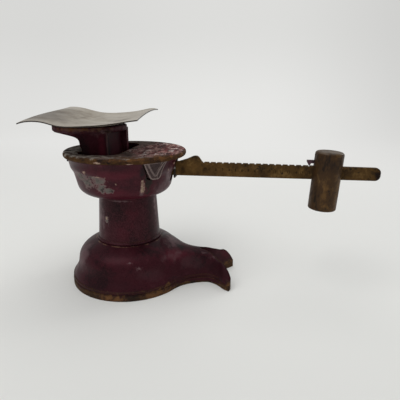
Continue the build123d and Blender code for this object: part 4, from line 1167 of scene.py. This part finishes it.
        # Near-black heads for the cover's screws.
        dark_heads = Metal(
            "dark_screws",
            (0.006, 0.004, 0.004),
            (0.012, 0.008, 0.008),
            (0.030, 0.022, 0.020),
            metallic=0.1,
            rough=(0.7, 0.9),
            edge=(0.05, 0.038, 0.034),
            specular=0.1,
        )
        dress(("cover_screws",), dark_heads.material(fx))
        dress(("stay_bracket_screws", "load_clamp_screws", "stem_screws"), steel.material(fx))
        iron = Metal(
            "worn_iron",
            (0.022, 0.010, 0.010),
            (0.048, 0.025, 0.024),
            (0.095, 0.062, 0.057),
            metallic=0.1,
            scale=130.0,
            edge=(0.38, 0.290, 0.265),
            edge_amount=0.95,
            edge_width=2.8 * MM,
        )
        dress(("front_lug", "rear_lug"), iron.material(fx))
        lever = Metal(
            "forged_iron",
            (0.030, 0.017, 0.015),
            (0.065, 0.043, 0.037),
            (0.12, 0.09, 0.08),
            metallic=0.3,
        )
        dress(("load_lever",), lever.material(fx))
        bright = Metal(
            "band_steel",
            (0.12, 0.105, 0.09),
            (0.27, 0.25, 0.225),
            (0.42, 0.40, 0.37),
            metallic=0.85,
            rough=(0.28, 0.5),
            speck=0.15,
        )
        dress(("fulcrum_band", "load_band", "stay_pin", "stem_pin", "pawl_pin"), bright.material(fx))
        guide = Metal(
            "guide_steel",
            (0.014, 0.010, 0.009),
            (0.040, 0.030, 0.025),
            (0.110, 0.090, 0.075),
            # Painted glint on the guide.
            patches=(Patch(Mark.SHEEN, (51.5, -4.1, 121.5), (2.0, 1.6, 1.6), 0.6, 400.0, 0.9),),
        )
        dress(("beam_guide",), guide.material(fx))

    def soften(self) -> None:
        """Rounds the lugs' sharp edges."""
        soften(("front_lug", "rear_lug"), self.edge)


@dataclass
class Beam:
    """The notched brass beam with its stamped scale, and the small brass fittings.

    Attributes:
        first_notch: X of the first notch.
        pitch: from notch to notch.
        notches: how many there are.
        face_gap: how far the stamping stands off the beam's face.
        tick_drop: top of the ticks under the beam's top edge.
        tick_height: their height.
        tick_width: their width.
        figure_height: height of the figures.
        figure_drop: foot of the figures under the beam's top edge.
        figure_body: the lettering's nominal size over the height of a figure.
        bump_rise: height of the bump over the rest of the beam's top edge.
        patches: soft marks on the brass.
    """

    first_notch: float = 79.7 * MM
    pitch: float = 6.35 * MM
    notches: int = 17
    face_gap: float = 0.02 * MM
    tick_drop: float = 2.2 * MM
    tick_height: float = 2.4 * MM
    tick_width: float = 0.28 * MM
    figure_height: float = 2.7 * MM
    figure_drop: float = 8.3 * MM
    figure_body: float = 1.35
    bump_rise: float = 5.8 * MM
    patches: tuple[Patch, ...] = (
        Patch(Mark.GLINT, (66.0, 0.0, 121.0), (17.0, 4.0, 9.0), 0.7, 110.0, 0.28),
        Patch(Mark.GLINT, (106.0, 0.0, 119.0), (22.0, 4.0, 8.0), 0.9, 110.0, 0.20),
        Patch(Mark.GRIME, (136.0, 0.0, 119.0), (10.0, 4.0, 9.0), 0.9, 110.0, 0.42),
        Patch(Mark.GRIME, (185.0, 0.0, 121.0), (9.0, 4.0, 10.0), 0.7, 110.0, 0.65),
        Patch(Mark.GRIME, (244.5, 0.0, 121.0), (4.5, 4.0, 9.5), 0.8, 150.0, 0.85),
        Patch(Mark.GRIME, (216.0, 0.0, 124.0), (7.0, 4.0, 6.0), 0.9, 130.0, 0.5),
    )

    def dress(self, fx: Effects) -> None:
        """Gives the beam and the fittings their finishes.

        Args:
            fx: the shared node groups.
        """
        brass = Metal(
            "aged_brass",
            (0.022, 0.0120, 0.0055),
            (0.082, 0.0440, 0.0145),
            (0.160, 0.0920, 0.0330),
            metallic=0.5,
            rough=(0.42, 0.68),
            scale=80.0,
            balance=0.51,
            specular=0.08,
            patches=self.patches,
            edge=(0.035, 0.024, 0.014),
            edge_amount=0.5,
            speck=0.80,
            speck_scale=300.0,
            streaks=(60.0, 1200.0, 1200.0),
            lumps=0.05 * MM,
        )
        dress(("beam",), brass.material(fx))
        fittings = ("fulcrum_clamps", "stay_bracket", "beam_rivets", "load_clamps", "check_stem", "stay_link")
        dress(fittings, brass.material(fx))

    def stamp(self, fx: Effects) -> list[bpy.types.Object]:
        """Stamps a tick under each notch and a plain figure under each tick, on both faces.

        Args:
            fx: the shared node groups.

        Returns:
            The two stamped scales.
        """
        dirt = Stamping().material(fx)
        low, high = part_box("beam")
        top = high.z - self.bump_rise
        made = []
        for side, name in ((-1, "front_scale"), (1, "rear_scale")):
            face_y = (low.y if side < 0 else high.y) + side * self.face_gap
            made.append(self._scale(name, side, face_y, top, dirt))
        return made

    def _scale(
        self, name: str, side: int, face_y: float, top: float, dirt: bpy.types.Material
    ) -> bpy.types.Object:
        """Builds the ticks and figures of one face as one piece.

        Args:
            name: the piece's name.
            side: -1 for the front face, 1 for the rear.
            face_y: Y of the stamping's outer face.
            top: height of the beam's top edge.
            dirt: the material.

        Returns:
            The piece, riding on the beam.
        """
        vertices: list[Vector] = []
        faces: list[tuple[int, ...]] = []
        for index in range(self.notches):
            x = self.first_notch + index * self.pitch
            self._tick(vertices, faces, x, face_y, side, top - self.tick_drop)
            self._figure(vertices, faces, str(index), x, face_y, side, top - self.figure_drop)
        mesh = bpy.data.meshes.new(name)
        mesh.from_pydata(vertices, [], faces)
        mesh.validate()
        mesh.materials.append(dirt)
        piece = bpy.data.objects.new(name, mesh)
        bpy.context.scene.collection.objects.link(piece)
        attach(piece, Body.BEAM.value)
        return piece

    def _tick(
        self,
        vertices: list[Vector],
        faces: list[tuple[int, ...]],
        x: float,
        face_y: float,
        side: int,
        top: float,
    ) -> None:
        """Adds one tick, meant as a thin box sunk into the beam's face.

        Known fault: the second loop should stand inside the first. As it is, only the four
        inner points are added, and the faces take up points of the figure that follows.

        Args:
            vertices: the piece's points so far.
            faces: its faces so far.
            x: the tick's middle.
            face_y: Y of its outer face.
            side: -1 for the front face, 1 for the rear.
            top: its upper end.
        """
        inner = face_y - side * 4 * self.face_gap
        half = self.tick_width / 2
        start = len(vertices)
        for y in (face_y, inner):
            foot = half * 0.7
        for dx, dz in ((-half, 0.0), (half, 0.0), (foot, -self.tick_height), (-foot, -self.tick_height)):
                vertices.append(Vector((x + dx, y, top + dz)))
        order = ((0, 1, 2, 3), (7, 6, 5, 4), (0, 4, 5, 1), (1, 5, 6, 2), (2, 6, 7, 3), (3, 7, 4, 0))
        for face in order:
            corners = tuple(start + i for i in face)
            faces.append(corners if side > 0 else corners[::-1])

    def _figure(
        self,
        vertices: list[Vector],
        faces: list[tuple[int, ...]],
        text: str,
        x: float,
        face_y: float,
        side: int,
        foot: float,
    ) -> None:
        """Adds one plain figure as a thin raised outline on the beam's face.

        Args:
            vertices: the piece's points so far.
            faces: its faces so far.
            text: the figure.
            x: its middle.
            face_y: Y of its outer face.
            side: -1 for the front face, 1 for the rear.
            foot: the height that it stands on.
        """
        curve = bpy.data.curves.new("figure", "FONT")
        curve.body = text
        curve.size = self.figure_height * self.figure_body
        curve.align_x = "CENTER"
        curve.extrude = 2 * self.face_gap
        curve.resolution_u = 3
        source = bpy.data.objects.new("figure", curve)
        mesh = bpy.data.meshes.new_from_object(source)
        turn = Matrix.Rotation(math.radians(90), 4, "X")
        if side > 0:
            turn = Matrix.Rotation(math.radians(180), 4, "Z") @ turn
        place = Matrix.Translation((x, face_y - side * 2 * self.face_gap, foot)) @ turn
        start = len(vertices)
        vertices.extend(place @ v.co for v in mesh.vertices)
        faces.extend(tuple(start + i for i in polygon.vertices) for polygon in mesh.polygons)
        bpy.data.meshes.remove(mesh)
        bpy.data.objects.remove(source)
        bpy.data.curves.remove(curve)


@dataclass
class Platform:
    """The pedestal that rises through the cover."""

    patches: tuple[Patch, ...] = (
        Patch(Mark.FRESH, (-13.5, -27.5, 142.0), (5.0, 3.0, 15.0), 0.4, 90.0, 0.8),
        Patch(Mark.GRIME, (-31.0, -27.5, 141.0), (8.0, 3.0, 12.0), 0.5, 90.0, 0.6),
        Patch(Mark.HAZE, (-8.4, -27.4, 146.0), (1.1, 1.1, 20.0), 0.5, 200.0, 0.75),
        # Painted shade on the stem's side face.
        Patch(Mark.GRIME, (-9.0, -18.0, 142.0), (4.5, 12.0, 22.0), 0.3, 90.0, 1.0),
        # Redder, paler web face: painted light in the recess.
        Patch(Mark.FRESH, (-8.0, 24.0, 143.0), (5.0, 9.0, 18.0), 0.4, 90.0, 0.9),
        Patch(Mark.HAZE, (-7.5, 23.0, 147.0), (4.0, 5.0, 12.0), 0.7, 120.0, 0.4),
        Patch(Mark.GLINT, (-24.0, -34.0, 160.6), (40.0, 14.0, 2.0), 1.3, 260.0, 0.36),
        Patch(Mark.HAZE, (-2.0, -10.0, 160.5), (8.0, 14.0, 2.4), 1.0, 260.0, 0.45),
        Patch(Mark.HAZE, (-30.0, -30.0, 158.5), (36.0, 16.0, 4.0), 1.3, 160.0, 0.30),
        Patch(Mark.HAZE, (-12.2, -27.0, 158.2), (3.0, 3.0, 1.6), 1.0, 420.0, 0.9),
    )

    def dress(self, fx: Effects) -> None:
        """Gives the pedestal its finish.

        Args:
            fx: the shared node groups.
        """
        enamel = Enamel(
            "enamel_pedestal",
            patches=self.patches,
            edge_width=1.0 * MM,
            edge_amount=0.68,
            body=(0.040, 0.0058, 0.0105),
            shine=0.55,
            specular=0.05,
        )
        dress(("pedestal",), enamel.material(fx))


@dataclass
class Plate:
    """The loose sheet-metal plate."""

    patches: tuple[Patch, ...] = (
        # Paler right, darker left: painted sheen and painted shade.
        Patch(Mark.SHEEN, (-6.0, 20.0, 168.0), (34.0, 44.0, 16.0), 0.6, 40.0, 0.35),
        Patch(Mark.DULL, (-82.0, -22.0, 172.0), (42.0, 64.0, 40.0), 0.5, 40.0, 1.00),
        Patch(Mark.DULL, (-72.0, -22.0, 172.0), (30.0, 60.0, 40.0), 0.5, 40.0, 0.50),
        Patch(Mark.DULL, (-11.7, 17.0, 166.0), (18.0, 7.0, 8.0), 0.7, 90.0, 0.75),
        # Thin strips: painted shade and light along the sheet's creases.
        Patch(Mark.DULL, (-50.0, 12.0, 170.0), (2.4, 26.0, 10.0), 0.5, 60.0, 0.45),
        Patch(Mark.DULL, (-30.0, 40.0, 170.0), (22.0, 2.4, 10.0), 0.6, 60.0, 0.45),
        Patch(Mark.SHEEN, (-42.0, 18.0, 169.0), (3.0, 22.0, 10.0), 0.6, 60.0, 0.30),
    )

    def dress(self, fx: Effects) -> None:
        """Gives the plate its finish.

        Args:
            fx: the shared node groups.
        """
        sheet = Metal(
            "dull_sheet",
            (0.230, 0.197, 0.154),
            (0.305, 0.268, 0.215),
            (0.375, 0.335, 0.277),
            metallic=0.12,
            rough=(0.36, 0.50),
            scale=30.0,
            balance=0.52,
            edge=(0.075, 0.058, 0.046),
            edge_amount=0.75,
            speck=0.12,
            speck_colour=(0.15, 0.125, 0.10),
            streaks=(30.0, 500.0, 500.0),
            lumps=0.05 * MM,
            specular=0.2,
            # Darker upright edges of the sheet: painted shade.
            cut=(0.045, 0.034, 0.027),
            patches=self.patches,
        )
        dress(("plate",), sheet.material(fx))


@dataclass
class Poise:
    """The sliding poise with its pawl."""

    patches: tuple[Patch, ...] = (
        # Paler streak down the front and paler right side: painted highlights.
        Patch(Mark.GLINT, (196.5, -13.3, 104.0), (3.0, 5.0, 10.0), 1.2, 190.0, 0.34),
        Patch(Mark.GLINT, (200.5, -12.3, 90.0), (7.0, 5.0, 5.0), 1.2, 190.0, 0.30),
        Patch(Mark.GLINT, (208.5, -7.5, 104.0), (4.0, 5.0, 26.0), 0.6, 120.0, 0.45),
        Patch(Mark.GRIME, (200.0, -13.3, 130.0), (6.0, 6.0, 6.0), 0.9, 130.0, 0.55),
    )

    def dress(self, fx: Effects) -> None:
        """Gives the poise and its pieces their finishes.

        Args:
            fx: the shared node groups.
        """
        bronze = Metal(
            "mottled_bronze",
            (0.016, 0.0085, 0.0045),
            (0.056, 0.028, 0.0110),
            (0.125, 0.070, 0.0270),
            metallic=0.45,
            rough=(0.36, 0.62),
            scale=105.0,
            balance=0.50,
            edge=(0.12, 0.085, 0.05),
            edge_amount=0.45,
            speck=0.8,
            speck_scale=300.0,
            dusty=0.95,
            dust_colour=(0.150, 0.128, 0.103),
            specular=0.22,
            grain=(1.0, 1.0, 0.45),
            patches=self.patches,
        )
        dress(("poise", "poise_plug"), bronze.material(fx))
        lead = Metal(
            "grey_lead", (0.05, 0.05, 0.055), (0.10, 0.10, 0.11), (0.17, 0.17, 0.18), rough=(0.5, 0.7)
        )
        dress(("poise_core",), lead.material(fx))
        blued = Metal(
            "blued_steel",
            (0.030, 0.014, 0.018),
            (0.085, 0.043, 0.054),
            (0.16, 0.095, 0.105),
            rough=(0.34, 0.6),
        )
        dress(("pawl",), blued.material(fx))


# ---- studio ----------------------------------------------------------------------------------


@dataclass
class Studio:
    """Pale seamless floor and backdrop, soft lamps and the camera.

    Attributes:
        floor_half: half width of the sweep.
        floor_front: how far it reaches towards the camera.
        floor_back: where it starts to rise.
        sweep_radius: radius of the rise.
        wall_height: height of the wall behind.
        tone: the sweep's colour.
        near_tone: its darker colour close to the camera, a painted shade.
        far_low: how the camera sees the foot of the wall.
        far_high: how it sees the wall higher up.
        fade_height: height at which it has changed from one to the other.
        fade_side: how far to either side the wall has lost some of its light.
        even_from: Y from which the camera starts to see the paper evenly lit.
        even_to: Y from which it sees it fully so.
    """

    floor_half: float = 3.0
    floor_front: float = -1.6
    floor_back: float = 1.3
    sweep_radius: float = 0.9
    wall_height: float = 2.6
    tone: Colour = (0.815, 0.815, 0.785)
    near_tone: Colour = (0.760, 0.760, 0.730)
    far_low: Colour = (0.80, 0.80, 0.785)
    far_high: Colour = (0.72, 0.72, 0.705)
    fade_height: float = 0.6
    fade_side: float = 1.3
    even_from: float = -0.15
    even_to: float = 1.0
    bend_steps: int = 24
    camera_place: Triple = (0.1313, -0.3692, 0.1983)
    camera_yaw: float = 8.47
    camera_pitch: float = 16.42
    camera_roll: float = 0.433
    lens: float = 34.24
    sensor: float = 36.0

    def build(self) -> None:
        """Builds the sweep, the lamps, the world and the camera."""
        self._sweep()
        self._lamp("key", (-0.45, -0.65, 1.45), (0.03, 0.0, 0.08), 1.0, 9.5)
        self._lamp("window", (0.95, 0.95, 0.60), (0.03, 0.0, 0.10), 0.45, 2.0)
        self._lamp("ceiling", (0.1, 0.4, 1.9), (0.05, 0.2, 0.0), 1.6, 10.0)
        self._world()
        self._camera()

    def _sweep(self) -> None:
        """Builds the floor that bends up into the backdrop."""
        profile = [(self.floor_front, 0.0)]
        for index in range(self.bend_steps + 1):
            angle = math.radians(90) * index / self.bend_steps
            y = self.floor_back + self.sweep_radius * math.sin(angle)
            profile.append((y, self.sweep_radius * (1 - math.cos(angle))))
        profile.append((profile[-1][0], self.wall_height))
        vertices = [(x, y, z) for x in (-self.floor_half, self.floor_half) for y, z in profile]
        count = len(profile)
        faces = [(i, i + count, i + count + 1, i + 1) for i in range(count - 1)]
        mesh = bpy.data.meshes.new("sweep")
        mesh.from_pydata(vertices, [], faces)
        for polygon in mesh.polygons:
            polygon.use_smooth = True
        mesh.materials.append(self._paper())
        sweep = bpy.data.objects.new("sweep", mesh)
        bpy.context.scene.collection.objects.link(sweep)

    def _paper(self) -> bpy.types.Material:
        """Builds the matt paper; the camera sees its far part evenly lit.

        Returns:
            The material.
        """
        material, g = new_graph("paper")
        point = g.place()
        # The floor darkens towards the camera: painted shade.
        colour = g.mix(g.step(g.axis(point, 1), -0.02, -0.26), self.tone, self.near_tone)
        colour = g.mix(g.math("MULTIPLY", g.noise(point, 3.0, 3.0, 0.5), 0.015), colour, (0.0, 0.0, 0.0))
        shader = g.add("ShaderNodeBsdfPrincipled")
        g.feed(shader.inputs["Base Color"], colour)
        shader.inputs["Roughness"].default_value = 0.9
        shader.inputs["Specular IOR Level"].default_value = 0.1
        grain = g.add("ShaderNodeBump")
        grain.inputs["Strength"].default_value = 0.1
        grain.inputs["Distance"].default_value = 1.0
        g.feed(grain.inputs["Height"], g.math("MULTIPLY", g.noise(point, 400.0, 3.0, 0.6), 0.01 * MM))
        g.feed(shader.inputs["Normal"], grain.outputs[0])
        # The wall's glow is painted light, dimmer higher up and towards the sides.
        rise = g.step(g.axis(point, 2), 0.0, self.fade_height)
        far = g.mix(rise, self.far_low, self.far_high)
        for side, share in ((1.0, 0.245), (-1.0, 0.08)):
            aside = g.step(g.math("MULTIPLY", g.axis(point, 0), side), 0.1, self.fade_side)
            lost = g.math("MULTIPLY", aside, g.blend_values(rise, share, share * 0.65))
            far = g.mix(lost, far, (0.0, 0.0, 0.0))
        glow = g.add("ShaderNodeEmission")
        g.feed(glow.inputs["Color"], far)
        distance = g.step(g.axis(point, 1), self.even_from, self.even_to)
        path = g.add("ShaderNodeLightPath").outputs
        mirrored = g.math("MAXIMUM", path["Is Glossy Ray"], path["Is Transmission Ray"])
        seen = g.math("MAXIMUM", path["Is Camera Ray"], mirrored)
        joint = g.add("ShaderNodeMixShader")
        g.feed(joint.inputs[0], g.math("MULTIPLY", distance, seen))
        g.feed(joint.inputs[1], shader.outputs[0])
        g.feed(joint.inputs[2], glow.outputs[0])
        g.feed(g.add("ShaderNodeOutputMaterial").inputs["Surface"], joint.outputs[0])
        return material

    @staticmethod
    def _lamp(name: str, place: Triple, target: Triple, size: float, power: float) -> None:
        """Adds one square area lamp.

        Args:
            name: the lamp's name.
            place: where it stands.
            target: the point that it faces.
            size: its side length.
            power: watts.
        """
        light = bpy.data.lights.new(name, "AREA")
        light.shape = "SQUARE"
        light.size = size
        light.energy = power
        lamp = bpy.data.objects.new(name, light)
        lamp.location = place
        lamp.rotation_euler = (Vector(target) - Vector(place)).to_track_quat("-Z", "Y").to_euler()
        bpy.context.scene.collection.objects.link(lamp)

    @staticmethod
    def _world() -> None:
        """Fills the room with a soft neutral light."""
        world = bpy.data.worlds.new("room")
        world.use_nodes = True
        g = Graph(world.node_tree)
        light = g.add("ShaderNodeBackground")
        light.inputs["Color"].default_value = (0.97, 0.98, 1.0, 1.0)
        light.inputs["Strength"].default_value = 0.42
        g.feed(g.add("ShaderNodeOutputWorld").inputs["Surface"], light.outputs[0])
        bpy.context.scene.world = world

    def _camera(self) -> None:
        """Places the camera and makes it the scene's."""
        yaw, pitch, roll = (math.radians(a) for a in (self.camera_yaw, self.camera_pitch, self.camera_roll))
        ahead = Vector((-math.sin(yaw) * math.cos(pitch), math.cos(yaw) * math.cos(pitch), -math.sin(pitch)))
        right = Vector((math.cos(yaw), math.sin(yaw), 0.0))
        up = right.cross(ahead)
        tilted_right = right * math.cos(roll) + up * math.sin(roll)
        tilted_up = up * math.cos(roll) - right * math.sin(roll)
        turn = Matrix((tilted_right, tilted_up, -ahead)).transposed().to_4x4()
        data = bpy.data.cameras.new("camera")
        data.lens = self.lens
        data.sensor_width = self.sensor
        data.clip_start = 0.01
        data.clip_end = 20.0
        camera = bpy.data.objects.new("camera", data)
        camera.matrix_world = Matrix.Translation(self.camera_place) @ turn
        bpy.context.scene.collection.objects.link(camera)
        bpy.context.scene.camera = camera


def main() -> None:
    """Builds the finishes and the studio in order."""
    logging.basicConfig(level=logging.INFO, format="%(name)s: %(message)s")
    bpy.context.scene.view_settings.view_transform = "Standard"
    fx = Effects()
    stand = Stand()
    stand.dress(fx)
    stand.soften()
    LOG.info("stand dressed")
    beam = Beam()
    beam.dress(fx)
    for piece in beam.stamp(fx):
        LOG.info("beam: %s", piece.name)
    Platform().dress(fx)
    LOG.info("platform dressed")
    Plate().dress(fx)
    LOG.info("plate dressed")
    Poise().dress(fx)
    LOG.info("poise dressed")
    Studio().build()
    LOG.info("studio built")


if __name__ == "__main__":
    main()
